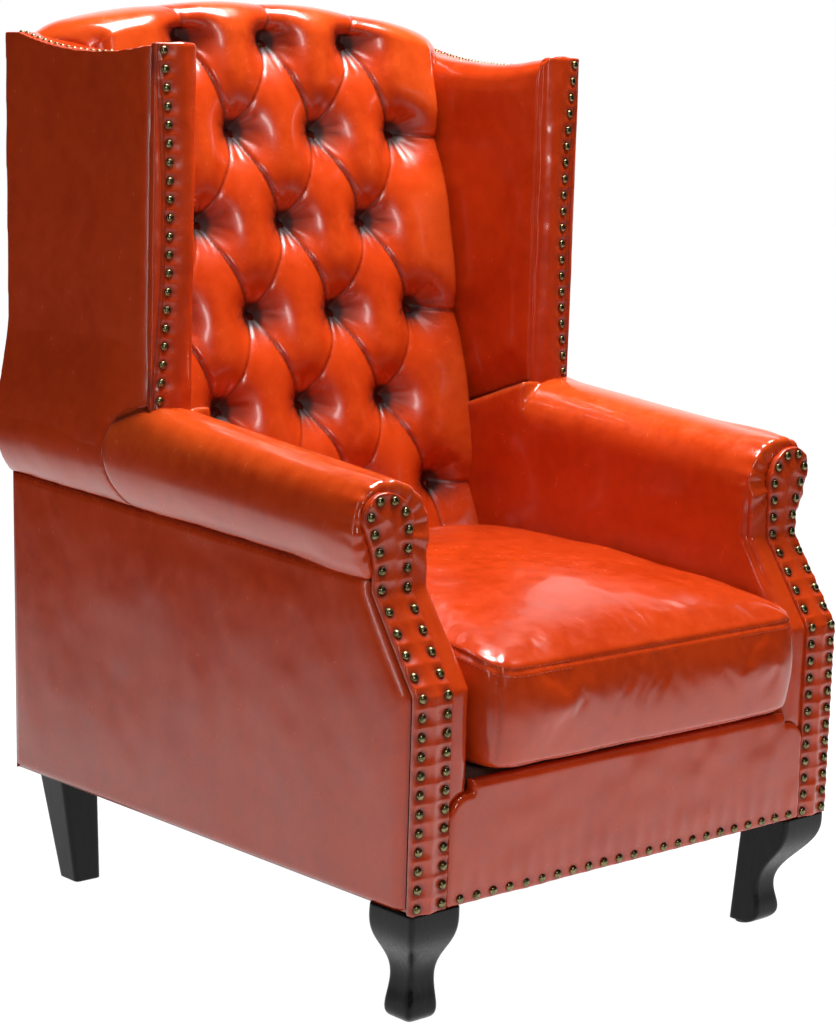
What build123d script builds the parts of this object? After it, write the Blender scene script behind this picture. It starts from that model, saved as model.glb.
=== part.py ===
from build123d import *
import os
from math import asin, cos, radians, sin, tan

os.makedirs("parts", exist_ok=True)

# Leather wing armchair: scroll arms, high wings, deep-buttoned back, loose seat cushion.
# All sizes are in millimetres. The origin is on the floor under the middle of the chair.
# X runs to the right and Y to the rear, both as seen from the front, and Z runs up.
# The right-hand piece of each pair is drawn, and the left-hand one is its mirror image.

# Overall places
leg_height = 150
front_y = -386
rear_low_y = 396
rear_high_y = 423.5
back_corner_z = 1100.5
crest_z = 1151
crest_half_width = 336
crest_side_in = 18.5
crest_y = 362
crest_end_drop = 34
crest_end_in = 16

# Frame timber
board = 30
cover = 5
dust_cover_thickness = 1.5
rail_height = 110
front_rail_back = 14
post_depth = 40
block_leg = 90
block_height = 60
arm_rail_height = 36
wing_post_depth = 34
wing_rail_height = 40
stile_depth = 30
cross_rail_height = 60
cross_rail_gap = 13.5
top_rail_height = 70
crest_padding = 34
wing_padding = 12

# Arms: the front line is upright, slopes back, then is upright again
setback = 72
setback_low_z = 395
setback_high_z = 500
facing_thickness = 10
facing_width = 53.5
neck_z = 527
head_out = 17.5
head_side_z = 575
head_top_z = 611
head_top_in = 13.5
head_inner_z = 560
swell_share = 0.38
crown_width_share = 0.8
crown_height_share = 0.72
curl_width_share = 0.26
curl_height_share = 0.72
round_share = 0.71
brow_share = 0.2
puff_ring_shares = ((0.8, 0.5, 0.8), (0.46, 0.93, 0.97))
turn_width_share = 0.33
turn_height_share = 0.86
arm_width = 88.5
strip_back = 4
crease_front_z = 515
crease_rise = 27
roll_out = 22
roll_top_front_z = 620
roll_top_rise = 36
roll_top_in = 24.5
roll_shoulder_drop = 56
roll_belly_drop = 42

# Wings
wing_front_y = 102
wing_width = 66.5
wing_band_thickness = 12
wing_band_round = 9
wing_band_foot = 5
wing_front_z = 1090
wing_dip_z = 1078.5
wing_dip_y = 222
wing_rise_y = 395
wing_seam_front_z = 655
wing_seam_rear_z = 612
wing_belly_z = 588
wing_belly_top_z = 655
lobe_top_z = 668
lobe_depth = 71
lobe_foot_depth = 36

# Deep-buttoned back, which leans rearwards
lean_degrees = 11.65
lowest_row_y = 224
lowest_row_z = 500.3
row_pitch = 121.1
side_button_in = 78.3
rows = 6
pad_depth = 36
fold_height = 13
puff_height = 24
dimple_foot_radius = 14
dimple_depth = 4
button_radius = 11
button_height = 7
back_side_gap = 0.4
brow_z = 1108
puff_crest_drop = 34
tuft_rim_height = 6
tuft_recess = 5
tuft_base_depth = 25

# Seat
deck_high_z = 298
apron_high_z = 291
apron_corner_z = 253
apron_corner_high_z = 275
apron_front_round = 8
cushion_low_z = 298.5
cushion_rear_y = 172
cushion_gap = 0.5
cushion_side_swell = 3
cushion_nose_y = -423.5
cushion_nose_step = 9
cushion_shoulder_y = -300
cushion_middle_y = -100
cushion_back_y = 100
cushion_nose_low_z = 318
cushion_nose_high_z = 401
cushion_front_z = 413
cushion_front_crown = 5
cushion_shoulder_z = 433
cushion_shoulder_crown = 17
cushion_middle_z = 446
cushion_middle_crown = 24
cushion_back_z = 450
cushion_back_crown = 21
cushion_rear_z = 438
cushion_rear_crown = 12
cushion_corner_in = 9

# Webbing
strap_width = 50
strap_thickness = 2
seat_strap_pitch = 105
seat_cross_first_y = -330
seat_cross_pitch = 110
seat_straps_long = 5
seat_straps_cross = 5
back_strap_pitch = 130
back_straps_up = 4
back_straps_cross = 5
back_cross_first = 60
back_strap_lap = 50
strap_end_in = 6

# Legs and their hardware
front_leg_top = 74
front_leg_in = 75.5
front_leg_inner_y = -312
front_foot_shift_x = -5
front_foot_shift_y = 10
leg_corner_round = 5
knee_z = 124
knee_size = 73
calf_z = 92
calf_size = 54
ankle_z = 62
ankle_size = 39
toe_z = 28
toe_size = 44
foot_size = 29
rear_leg_top = 56
rear_leg_in = 42.5
rear_leg_y = 334.5
rear_foot_size = 39
rear_foot_in = 63
rear_foot_y = 335
glide_radius = 10.5
glide_height = 2.5
glide_pin_radius = 1.5
glide_pin_length = 16
bolt_radius = 4
bolt_half_length = 34
front_bolt_in = 27.5
front_bolt_y = -358
rear_bolt_in = 54.5
rear_bolt_y = 333

# Dome-headed nails
nail_head_radius = 5.4
nail_head_height = 3.2
nail_shank_radius = 1
nail_shank_length = 13
facing_nail_margin = 8
facing_nails = 44
apron_nails = 23
apron_nail_in = 19
wing_nails = 20
wing_nail_margin = 11
wing_nail_bow = 12
wing_nail_end = 9
wing_edge_nails = 16
wing_edge_nail_pitch = 13
wing_edge_nail_in = 7
wing_edge_nail_rear = 20
wing_edge_nail_lift = 0.05

# One overrun for every cutting shape
overrun = 60

# Places worked out from the sizes above
body_half_width = crest_half_width + crest_side_in
facing_inner_x = body_half_width - facing_width
head_top_x = body_half_width - head_top_in
arm_inner_x = body_half_width - arm_width
roll_top_x = body_half_width - roll_top_in
wing_inner_x = body_half_width - wing_width
front_leg_inner_x = body_half_width - front_leg_in
rear_leg_x = body_half_width - rear_leg_in
rear_foot_x = body_half_width - rear_foot_in
front_bolt_x = body_half_width - front_bolt_in
rear_bolt_x = body_half_width - rear_bolt_in
apron_nail_half_span = facing_inner_x - apron_nail_in
frame_x = body_half_width - cover
frame_inner_x = frame_x - board
rail_low_z = leg_height + dust_cover_thickness
rail_high_z = rail_low_z + rail_height
strap_top_z = rail_high_z + strap_thickness
pad_low_z = strap_top_z + strap_thickness
cross_rail_z = rail_high_z + cross_rail_gap
head_y = front_y + setback
facing_rear_y = head_y + facing_thickness
wing_frame_y = wing_front_y + wing_band_thickness
rear_slope = (rear_high_y - rear_low_y) / (back_corner_z - leg_height)
lean = radians(lean_degrees)
half_pitch = (wing_inner_x - side_button_in) / 3
high_z = crest_z + overrun
behind = -4 * overrun


def rear_at(z):
    """Depth of the chair's rear face at a height."""
    return rear_low_y + rear_slope * (z - leg_height)


def crease_at(y):
    """Height of the line under the arm's roll, outside."""
    return crease_front_z + crease_rise * (y - head_y) / (rear_low_y - head_y)


def roll_top_at(y):
    """Height of the top of the arm's roll."""
    return roll_top_front_z + roll_top_rise * (y - head_y) / (wing_front_y - head_y)


def seam_at(y):
    """Height of the seam between the inside arm and the inside wing."""
    run = (y - wing_front_y) / (cushion_rear_y + overrun - wing_front_y)
    return wing_seam_front_z + (wing_seam_rear_z - wing_seam_front_z) * run


def front_at(z):
    """Depth of the arm facing's front face at a height."""
    share = (z - setback_low_z) / (setback_high_z - setback_low_z)
    return front_y + setback * min(max(share, 0), 1)


def rest_y(z, height):
    """Depth of the leaning back at a height, some way proud of its buttons."""
    return lowest_row_y + (z - lowest_row_z) * tan(lean) - height / cos(lean)


def rest_plane(height):
    """The leaning plane of the back, some way proud of its buttons."""
    origin = (0, lowest_row_y - height * cos(lean), lowest_row_z + height * sin(lean))
    return Plane(origin=origin, x_dir=(1, 0, 0), z_dir=(0, -cos(lean), sin(lean)))


def save(piece, name):
    """Name one finished piece and write it."""
    piece.label = name
    export_step(piece, f"parts/{name}.step")


def save_pair(piece, stem):
    """Write a right-hand piece and its mirror image."""
    save(mirror(piece, about=Plane.YZ), f"{stem}_left")
    save(piece, f"{stem}_right")


def side_board(points, inner_x, outer_x):
    """A flat piece drawn from the side, as depth and height, between two widths."""
    with BuildPart() as sawn:
        with BuildSketch(Plane.YZ.offset(inner_x)):
            with BuildLine():
                Polyline(*points, close=True)
            make_face()
        extrude(amount=outer_x - inner_x)
    return sawn.part


def box_between(low, high):
    """A square-cut piece between two corners."""
    with BuildPart() as sawn:
        middle = [(a + b) / 2 for a, b in zip(low, high)]
        with Locations(tuple(middle)):
            Box(*[b - a for a, b in zip(low, high)])
    return sawn.part


def set_back_line(near, low, high):
    """Points up the arm's front line, some way behind its face."""
    return [
        (front_y + near, low),
        (front_y + near, setback_low_z),
        (head_y + near, setback_high_z),
        (head_y + near, high),
    ]


def bent_sheet(near, far, inner_x, outer_x):
    """A sheet that follows the set-back front line of the arm."""
    front = set_back_line(near, leg_height - overrun, high_z)
    rear = set_back_line(far, leg_height - overrun, high_z)
    return side_board(front + rear[::-1], inner_x, outer_x)


# Nail, standing on the XY plane with its shank below
dome_radius = (nail_head_radius**2 + nail_head_height**2) / (2 * nail_head_height)
dome_angle = asin(nail_head_radius / dome_radius) / 2
dome_point = (
    dome_radius * sin(dome_angle),
    nail_head_height - dome_radius * (1 - cos(dome_angle)),
)
with BuildPart() as nail:
    with BuildSketch(Plane.XZ):
        with BuildLine():
            shank = Polyline(
                (0, nail_head_height),
                (0, -nail_shank_length),
                (nail_shank_radius, -nail_shank_length),
                (nail_shank_radius, 0),
                (nail_head_radius, 0),
            )
            ThreePointArc(shank @ 1, dome_point, shank @ 0)
        make_face()
    revolve(axis=Axis.Z)

with BuildPart() as nail_bore:
    with BuildSketch(Plane.XY.offset(overrun)):
        Circle(nail_shank_radius)
    extrude(amount=-nail_shank_length - overrun)


def nails_on(planes):
    """A row of separate nails, one standing on each plane."""
    with BuildPart() as row:
        with Locations(*[Location(plane) for plane in planes]):
            add(nail.part)
    return row.part


def bores_on(planes):
    """The holes that a row of nails makes."""
    with BuildPart() as row:
        with Locations(*[Location(plane) for plane in planes]):
            add(nail_bore.part)
    return row.part


# Outline of the arm facing, seen from the front
head_side_x = body_half_width + head_out
swell_point = (
    body_half_width + head_out * swell_share,
    (neck_z + head_side_z) / 2,
)
crown_point = (
    head_top_x + (head_side_x - head_top_x) * crown_width_share,
    head_side_z + (head_top_z - head_side_z) * crown_height_share,
)
curl_point = (
    facing_inner_x + (head_top_x - facing_inner_x) * curl_width_share,
    head_inner_z + (head_top_z - head_inner_z) * curl_height_share,
)
with BuildSketch(Plane.XZ) as facing_outline:
    with BuildLine():
        foot = Line((facing_inner_x, leg_height), (body_half_width, leg_height))
        outer = Line(foot @ 1, (body_half_width, neck_z))
        swell = ThreePointArc(outer @ 1, swell_point, (head_side_x, head_side_z))
        crown = ThreePointArc(swell @ 1, crown_point, (head_top_x, head_top_z))
        curl = ThreePointArc(crown @ 1, curl_point, (facing_inner_x, head_inner_z))
        Line(curl @ 1, foot @ 0)
    make_face()

with BuildSketch(Plane.XZ) as post_outline:
    add(facing_outline.sketch)
    offset(amount=-cover)

with BuildSketch(Plane.XZ) as facing_nail_outline:
    add(facing_outline.sketch)
    offset(amount=-facing_nail_margin)
nail_edges = facing_nail_outline.sketch.face().outer_wire().edges().sort_by(Axis.Z)[1:]
facing_nail_line = Wire(nail_edges)


def facing_plane_at(point):
    """The plane that a nail stands on, on the face of the arm facing."""
    z = point.Z
    slope = setback / (setback_high_z - setback_low_z)
    leaning = setback_low_z < z < setback_high_z
    up = slope if leaning else 0
    return Plane(
        origin=(point.X, front_at(z), z), x_dir=(1, 0, 0), z_dir=(0, -1, up)
    )


facing_nail_planes = [
    facing_plane_at(facing_nail_line @ (i / (facing_nails - 1)))
    for i in range(facing_nails)
]
facing_bores = bores_on(facing_nail_planes)

# Arm facing, a thin leather-covered board
with BuildPart() as arm_facing:
    with BuildSketch(Plane.XZ.offset(-front_y)):
        add(facing_outline.sketch)
    extrude(amount=-(setback + facing_thickness + overrun))
    add(bent_sheet(0, facing_thickness, 0, body_half_width + overrun), mode=Mode.INTERSECT)
    facing_nail_row = nails_on(facing_nail_planes)
    add(facing_bores, mode=Mode.SUBTRACT)
    add(facing_nail_row, mode=Mode.SUBTRACT)
save_pair(arm_facing.part, "arm_facing")
save_pair(facing_nail_row, "facing_nails")

# Front post of the arm, behind the facing
with BuildPart() as arm_post:
    with BuildSketch(Plane.XZ.offset(-front_y)):
        add(post_outline.sketch)
    extrude(amount=-(setback + facing_thickness + board + overrun))
    add(
        bent_sheet(facing_thickness, facing_thickness + board, 0, head_side_x),
        mode=Mode.INTERSECT,
    )
    add(
        box_between((0, front_y, rail_low_z), (head_side_x, rear_low_y, high_z)),
        mode=Mode.INTERSECT,
    )
    add(facing_bores, mode=Mode.SUBTRACT)
    with Locations((front_bolt_x, front_bolt_y, rail_low_z)):
        Cylinder(bolt_radius, 2 * bolt_half_length, mode=Mode.SUBTRACT)
save_pair(arm_post.part, "arm_post")


# Seat rails and the blocks in their corners
rear_rail_y = rear_at(rail_low_z) - cover - board
front_rail_y = front_y + front_rail_back
apron_nail_z = leg_height + facing_nail_margin
apron_nail_planes = [
    Plane(origin=(x, front_y, apron_nail_z), x_dir=(1, 0, 0), z_dir=(0, -1, 0))
    for x in [
        apron_nail_half_span * (2 * i / (apron_nails - 1) - 1) for i in range(apron_nails)
    ]
]
apron_bores = bores_on(apron_nail_planes)
save(nails_on(apron_nail_planes), "apron_nails")

with BuildPart() as front_rail:
    post_face_x = facing_inner_x + cover
    add(
        box_between(
            (-post_face_x, front_rail_y, rail_low_z),
            (post_face_x, front_rail_y + board, rail_high_z),
        )
    )
    add(apron_bores, mode=Mode.SUBTRACT)
save(front_rail.part, "front_rail")

rear_rail = box_between(
    (-frame_inner_x, rear_rail_y, rail_low_z),
    (frame_inner_x, rear_rail_y + board, rail_high_z),
)
save(rear_rail, "rear_rail")

post_rear_y = front_y + facing_thickness + board
back_post_y = rear_at(rail_low_z) - cover - post_depth
side_rail = box_between(
    (frame_inner_x, post_rear_y, rail_low_z), (frame_x, back_post_y, strap_top_z)
)
save_pair(side_rail, "side_rail")

with BuildPart() as corner_blocks:
    for corner_y, into in ((front_rail_y + board, 1), (rear_rail_y, -1)):
        for side in (-1, 1):
            with BuildSketch(Plane.XY.offset(rail_low_z)):
                with BuildLine():
                    Polyline(
                        (side * frame_inner_x, corner_y),
                        (side * (frame_inner_x - block_leg), corner_y),
                        (side * frame_inner_x, corner_y + into * block_leg),
                        close=True,
                    )
                make_face()
            extrude(amount=block_height)
    add(arm_post.part, mode=Mode.SUBTRACT)
    add(mirror(arm_post.part, about=Plane.YZ), mode=Mode.SUBTRACT)
    with Locations(
        (-rear_bolt_x, rear_bolt_y, rail_low_z), (rear_bolt_x, rear_bolt_y, rail_low_z)
    ):
        Cylinder(bolt_radius, 2 * bolt_half_length, mode=Mode.SUBTRACT)
save(corner_blocks.part, "corner_blocks")


def rear_strip(near, far, low, high):
    """Points of an upright that follows the chair's rear face."""
    return [
        (rear_at(low) - far, low),
        (rear_at(high) - far, high),
        (rear_at(high) - near, high),
        (rear_at(low) - near, low),
    ]


def leaning_strip(near, far, low, high):
    """Points of a board that leans with the back, between two heights over its buttons."""
    return [
        (rest_y(low, near), low),
        (rest_y(high, near), high),
        (rest_y(high, far), high),
        (rest_y(low, far), low),
    ]


# Rear posts, and the leaning frame that carries the back
post_high_z = back_corner_z - wing_padding
back_post = side_board(
    rear_strip(cover, cover + post_depth, rail_low_z, post_high_z), frame_inner_x, frame_x
)

top_rail_low_z = crest_z - crest_padding - top_rail_height
stile_front = -pad_depth - strap_thickness
rail_front = stile_front - strap_thickness
stile_inner_x = frame_inner_x - board
back_stile = side_board(
    leaning_strip(stile_front, stile_front - stile_depth, rail_low_z, top_rail_low_z),
    stile_inner_x,
    frame_inner_x,
)
with BuildPart() as back_stile_cut:
    add(back_stile)
    rear_space = rear_strip(cover, behind, rail_low_z - overrun, high_z)
    add(side_board(rear_space, 0, body_half_width), mode=Mode.SUBTRACT)
save_pair(back_stile_cut.part, "back_stile")

cross_rail = side_board(
    leaning_strip(
        rail_front, rail_front - board, cross_rail_z, cross_rail_z + cross_rail_height
    ),
    -stile_inner_x,
    stile_inner_x,
)
save(cross_rail, "back_cross_rail")


def crest_arch(drop, half_width, low):
    """A face, seen from the front, under a line some way below the crest."""
    with BuildSketch(Plane.XZ) as arch:
        with BuildLine():
            side_z = crest_z - drop - crest_end_drop
            base = Line((-half_width, low), (half_width, low))
            right = Line(base @ 1, (half_width, side_z))
            over = ThreePointArc(right @ 1, (0, crest_z - drop), (-half_width, side_z))
            Line(over @ 1, base @ 0)
        make_face()
    return arch.sketch


# Top rail, arched under the crest
with BuildPart() as top_rail:
    with BuildSketch(Plane.XZ.offset(-high_z)):
        add(crest_arch(crest_padding, frame_inner_x, top_rail_low_z))
    extrude(amount=2 * high_z)
    add(
        side_board(
            [
                (rest_y(top_rail_low_z, rail_front), top_rail_low_z),
                (rest_y(high_z, rail_front), high_z),
                (rear_at(high_z) - cover, high_z),
                (rear_at(top_rail_low_z) - cover, top_rail_low_z),
            ],
            -frame_inner_x,
            frame_inner_x,
        ),
        mode=Mode.INTERSECT,
    )
save(top_rail.part, "back_top_rail")

# Arm rail under the roll, from the front post to the rear post
arm_rail_y = head_y + facing_thickness + board
with BuildPart() as arm_rail:
    add(
        side_board(
            [
                (arm_rail_y, crease_at(arm_rail_y) - arm_rail_height),
                (arm_rail_y, crease_at(arm_rail_y)),
                (rear_low_y, crease_at(rear_low_y)),
                (rear_low_y, crease_at(rear_low_y) - arm_rail_height),
            ],
            frame_inner_x,
            frame_x,
        )
    )
    add(arm_post.part, mode=Mode.SUBTRACT)
    add(back_post, mode=Mode.SUBTRACT)
save_pair(arm_rail.part.solids().sort_by(SortBy.VOLUME)[-1], "arm_rail")


def under_wing_top(drop, low, near_y, inner_x, outer_x):
    """The space under a line some way below the wing's top, from a depth rearwards."""
    with BuildPart() as space:
        with BuildSketch(Plane.YZ.offset(inner_x)):
            with BuildLine():
                first_y = wing_front_y - 2 * overrun
                last_y = rear_high_y + 2 * overrun
                base = Line((first_y, low), (last_y, low))
                rear = Polyline(
                    base @ 1, (last_y, back_corner_z - drop), (wing_rise_y, back_corner_z - drop)
                )
                dip = ThreePointArc(
                    rear @ 1,
                    (wing_dip_y, wing_dip_z - drop),
                    (wing_front_y, wing_front_z - drop),
                )
                Polyline(dip @ 1, (first_y, wing_front_z - drop), base @ 0)
            make_face()
        extrude(amount=outer_x - inner_x)
        split(bisect_by=Plane.XZ.offset(-near_y), keep=Keep.BOTTOM)
    return space.part


# The row of nails down the front of the wing, and the close row along its top edge
wing_nail_outer_x = body_half_width - wing_nail_margin
wing_nail_low_z = roll_top_at(wing_front_y) + wing_nail_end
with BuildLine(Plane.XZ.offset(-wing_front_y)) as wing_nail_path:
    ThreePointArc(
        (wing_nail_outer_x, wing_nail_low_z),
        (wing_nail_outer_x - wing_nail_bow, (wing_nail_low_z + wing_front_z) / 2),
        (wing_nail_outer_x, wing_front_z - wing_nail_end),
    )
wing_nail_planes = [
    Plane(
        origin=wing_nail_path.line @ (i / (wing_nails - 1)),
        x_dir=(1, 0, 0),
        z_dir=(0, -1, 0),
    )
    for i in range(wing_nails)
]
wing_bores = bores_on(wing_nail_planes)
save_pair(nails_on(wing_nail_planes), "wing_nails")

with BuildLine(Plane.YZ.offset(frame_x - wing_edge_nail_in)) as wing_edge_path:
    flat = Line(
        (rear_high_y - wing_edge_nail_rear, back_corner_z), (wing_rise_y, back_corner_z)
    )
    ThreePointArc(
        flat @ 1, (wing_dip_y, wing_dip_z), (wing_front_y, wing_front_z)
    )
wing_edge_line = Wire(wing_edge_path.line.edges())
wing_edge_nail_planes = []
for i in range(wing_edge_nails):
    run = i * wing_edge_nail_pitch / wing_edge_line.length
    along = wing_edge_line % run
    seat_plane = Plane(
        origin=wing_edge_line @ run, x_dir=(1, 0, 0), z_dir=(0, along.Z, -along.Y)
    )
    wing_edge_nail_planes.append(seat_plane.offset(wing_edge_nail_lift))
wing_edge_bores = bores_on(wing_edge_nail_planes)
save_pair(nails_on(wing_edge_nail_planes), "wing_edge_nails")

with BuildPart() as back_post_bored:
    add(back_post)
    add(wing_edge_bores, mode=Mode.SUBTRACT)
save_pair(back_post_bored.part, "back_post")

# Wing frame: a top rail that dips with the wing, and a front post under it
with BuildPart() as wing_rail:
    add(under_wing_top(wing_padding, crease_front_z, wing_frame_y, frame_inner_x, frame_x))
    add(
        under_wing_top(
            wing_padding + wing_rail_height,
            crease_front_z - overrun,
            wing_frame_y - overrun,
            frame_inner_x - overrun,
            frame_x + overrun,
        ),
        mode=Mode.SUBTRACT,
    )
    add(
        box_between(
            (frame_inner_x, wing_frame_y, crease_front_z), (frame_x, rear_low_y, high_z)
        ),
        mode=Mode.INTERSECT,
    )
    add(back_post, mode=Mode.SUBTRACT)
    add(wing_bores, mode=Mode.SUBTRACT)
    add(wing_edge_bores, mode=Mode.SUBTRACT)
save_pair(wing_rail.part, "wing_rail")

with BuildPart() as wing_post:
    wing_post_rear_y = wing_frame_y + wing_post_depth
    add(
        side_board(
            [
                (wing_frame_y, crease_at(wing_frame_y)),
                (wing_frame_y, wing_front_z),
                (wing_post_rear_y, wing_front_z),
                (wing_post_rear_y, crease_at(wing_post_rear_y)),
            ],
            frame_inner_x,
            frame_x,
        )
    )
    add(
        under_wing_top(
            wing_padding + wing_rail_height,
            crease_front_z - overrun,
            wing_frame_y - overrun,
            frame_inner_x - overrun,
            frame_x + overrun,
        ),
        mode=Mode.INTERSECT,
    )
    add(wing_bores, mode=Mode.SUBTRACT)
save_pair(wing_post.part, "wing_post")

# Wing facing: the padded band down the front of the wing
with BuildPart() as wing_facing:
    add(
        box_between(
            (wing_inner_x, wing_front_y, crease_at(wing_frame_y) + wing_band_foot),
            (body_half_width, wing_frame_y, wing_front_z),
        )
    )
    front_edges = wing_facing.edges().filter_by(Axis.Z).group_by(Axis.Y)[0]
    fillet(front_edges.sort_by(Axis.X)[0], radius=wing_band_round)
    add(wing_bores, mode=Mode.SUBTRACT)
save_pair(wing_facing.part, "wing_facing")

# The curved line, on the wing's outside, where the arm's roll ends
with BuildPart() as lobe_space:
    with BuildSketch(Plane.YZ.offset(frame_x)):
        with BuildLine():
            lobe_arc = ThreePointArc(
                (wing_front_y, lobe_top_z),
                (wing_front_y + lobe_depth, wing_belly_z),
                (wing_front_y + lobe_foot_depth, crease_at(wing_front_y)),
            )
            Polyline(
                lobe_arc @ 1,
                (wing_front_y + lobe_foot_depth, crease_front_z - overrun),
                (wing_front_y - overrun, crease_front_z - overrun),
                (wing_front_y - overrun, lobe_top_z),
                lobe_arc @ 0,
            )
        make_face()
    extrude(amount=overrun)

behind_chair = side_board(
    rear_strip(0, behind, leg_height - overrun, high_z),
    -body_half_width - overrun,
    body_half_width + overrun,
)

# Outside wing: swells out over the end of the arm's roll
with BuildPart() as outside_wing:
    for y in (wing_frame_y, rear_high_y + overrun):
        with BuildSketch(Plane.XZ.offset(-y)):
            with BuildLine():
                hem = Line((frame_x, crease_at(y)), (body_half_width, crease_at(y)))
                belly = ThreePointArc(
                    hem @ 1,
                    (body_half_width + roll_out, wing_belly_z),
                    (body_half_width, wing_belly_top_z),
                )
                Polyline(
                    belly @ 1, (body_half_width, high_z), (frame_x, high_z), hem @ 0
                )
            make_face()
    loft(ruled=True)
    add(
        under_wing_top(
            0, crease_front_z - overrun, wing_frame_y, 0, body_half_width + overrun
        ),
        mode=Mode.INTERSECT,
    )
    add(behind_chair, mode=Mode.SUBTRACT)
    add(lobe_space.part, mode=Mode.SUBTRACT)
save_pair(outside_wing.part, "outside_wing")

# Inside wing, whose leather turns over the wing's top
with BuildPart() as inside_wing:
    add(under_wing_top(0, crease_front_z, wing_frame_y, wing_inner_x, frame_x))
    add(
        under_wing_top(
            wing_padding,
            crease_front_z - overrun,
            wing_front_y - overrun,
            frame_inner_x,
            frame_x + overrun,
        ),
        mode=Mode.SUBTRACT,
    )
    add(
        side_board(
            [
                (wing_front_y, seam_at(wing_front_y)),
                (wing_front_y, crease_front_z - overrun),
                (rear_high_y + overrun, crease_front_z - overrun),
                (rear_high_y + overrun, seam_at(rear_high_y + overrun)),
            ],
            wing_inner_x - overrun,
            frame_x + overrun,
        ),
        mode=Mode.SUBTRACT,
    )
    add(
        side_board(
            [
                (rest_y(crease_front_z, -pad_depth), crease_front_z),
                (rest_y(post_high_z, -pad_depth), post_high_z),
                (rear_high_y + overrun, post_high_z),
                (rear_high_y + overrun, crease_front_z),
            ],
            wing_inner_x - overrun,
            frame_inner_x,
        ),
        mode=Mode.SUBTRACT,
    )
    add(
        side_board(
            rear_strip(cover, behind, leg_height, high_z), wing_inner_x, frame_x
        ),
        mode=Mode.SUBTRACT,
    )
    add(back_post, mode=Mode.SUBTRACT)
    add(top_rail.part, mode=Mode.SUBTRACT)
    add(wing_bores, mode=Mode.SUBTRACT)
    add(wing_edge_bores, mode=Mode.SUBTRACT)
save_pair(inside_wing.part, "inside_wing")

# Outside arm, and outside back
outside_arm = side_board(
    set_back_line(facing_thickness, leg_height, crease_at(head_y + facing_thickness))
    + [(rear_at(crease_at(rear_low_y)), crease_at(rear_at(crease_at(rear_low_y))))]
    + [(rear_low_y, leg_height)],
    frame_x,
    body_half_width,
)
save_pair(outside_arm, "outside_arm")

with BuildPart() as outside_back:
    with BuildSketch(Plane.XZ.offset(-high_z)):
        add(crest_arch(crest_padding - cover, frame_x, leg_height))
    extrude(amount=2 * high_z)
    add(
        side_board(
            rear_strip(0, cover, leg_height - overrun, high_z),
            -body_half_width,
            body_half_width,
        ),
        mode=Mode.INTERSECT,
    )
save(outside_back.part, "outside_back")

# Apron under the cushion
with BuildPart() as apron:
    with BuildSketch(Plane.XZ.offset(-front_y)):
        with BuildLine():
            base = Line((-facing_inner_x, leg_height), (facing_inner_x, leg_height))
            right = Line(base @ 1, (facing_inner_x, apron_corner_z))
            turn = (
                facing_inner_x - (facing_inner_x - arm_inner_x) * turn_width_share,
                apron_corner_z + (apron_corner_high_z - apron_corner_z) * turn_height_share,
            )
            round_over = ThreePointArc(right @ 1, turn, (arm_inner_x, apron_corner_high_z))
            top = Polyline(
                round_over @ 1,
                (arm_inner_x, apron_high_z),
                (-arm_inner_x, apron_high_z),
                (-arm_inner_x, apron_corner_high_z),
            )
            left = ThreePointArc(
                top @ 1, (-turn[0], turn[1]), (-facing_inner_x, apron_corner_z)
            )
            Line(left @ 1, base @ 0)
        make_face()
    extrude(amount=-front_rail_back)
    top_front = apron.edges().filter_by(Axis.X).sort_by(Axis.Z)[-2:].sort_by(Axis.Y)[0]
    fillet(top_front, radius=apron_front_round)
    add(apron_bores, mode=Mode.SUBTRACT)
save(apron.part, "front_apron")


def roll_section(y):
    """The arm's outline across its length, open to the frame on its outer side."""
    shoulder_z = roll_top_at(y) - roll_shoulder_drop
    belly_z = roll_top_at(y) - roll_belly_drop
    outer_x = body_half_width + roll_out
    with BuildSketch(Plane.XZ.offset(-y)) as section:
        with BuildLine():
            inner = Line((arm_inner_x, pad_low_z), (arm_inner_x, shoulder_z))
            shoulder = ThreePointArc(
                inner @ 1,
                (
                    roll_top_x - (roll_top_x - arm_inner_x) * round_share,
                    shoulder_z + roll_shoulder_drop * round_share,
                ),
                (roll_top_x, roll_top_at(y)),
            )
            brow = ThreePointArc(
                shoulder @ 1,
                (
                    roll_top_x + (outer_x - roll_top_x) * round_share,
                    belly_z + roll_belly_drop * round_share,
                ),
                (outer_x, belly_z),
            )
            belly = ThreePointArc(
                brow @ 1,
                (
                    body_half_width + roll_out * round_share,
                    belly_z - (belly_z - crease_at(y)) * round_share,
                ),
                (body_half_width, crease_at(y)),
            )
            Polyline(
                belly @ 1,
                (frame_inner_x, crease_at(y)),
                (frame_inner_x, pad_low_z),
                inner @ 0,
            )
        make_face()
    return section.sketch


def roll_between(near_y, far_y):
    """The arm's roll and inside padding between two depths."""
    with BuildPart() as length:
        loft(sections=[roll_section(near_y).face(), roll_section(far_y).face()], ruled=True)
    return length.part


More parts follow.
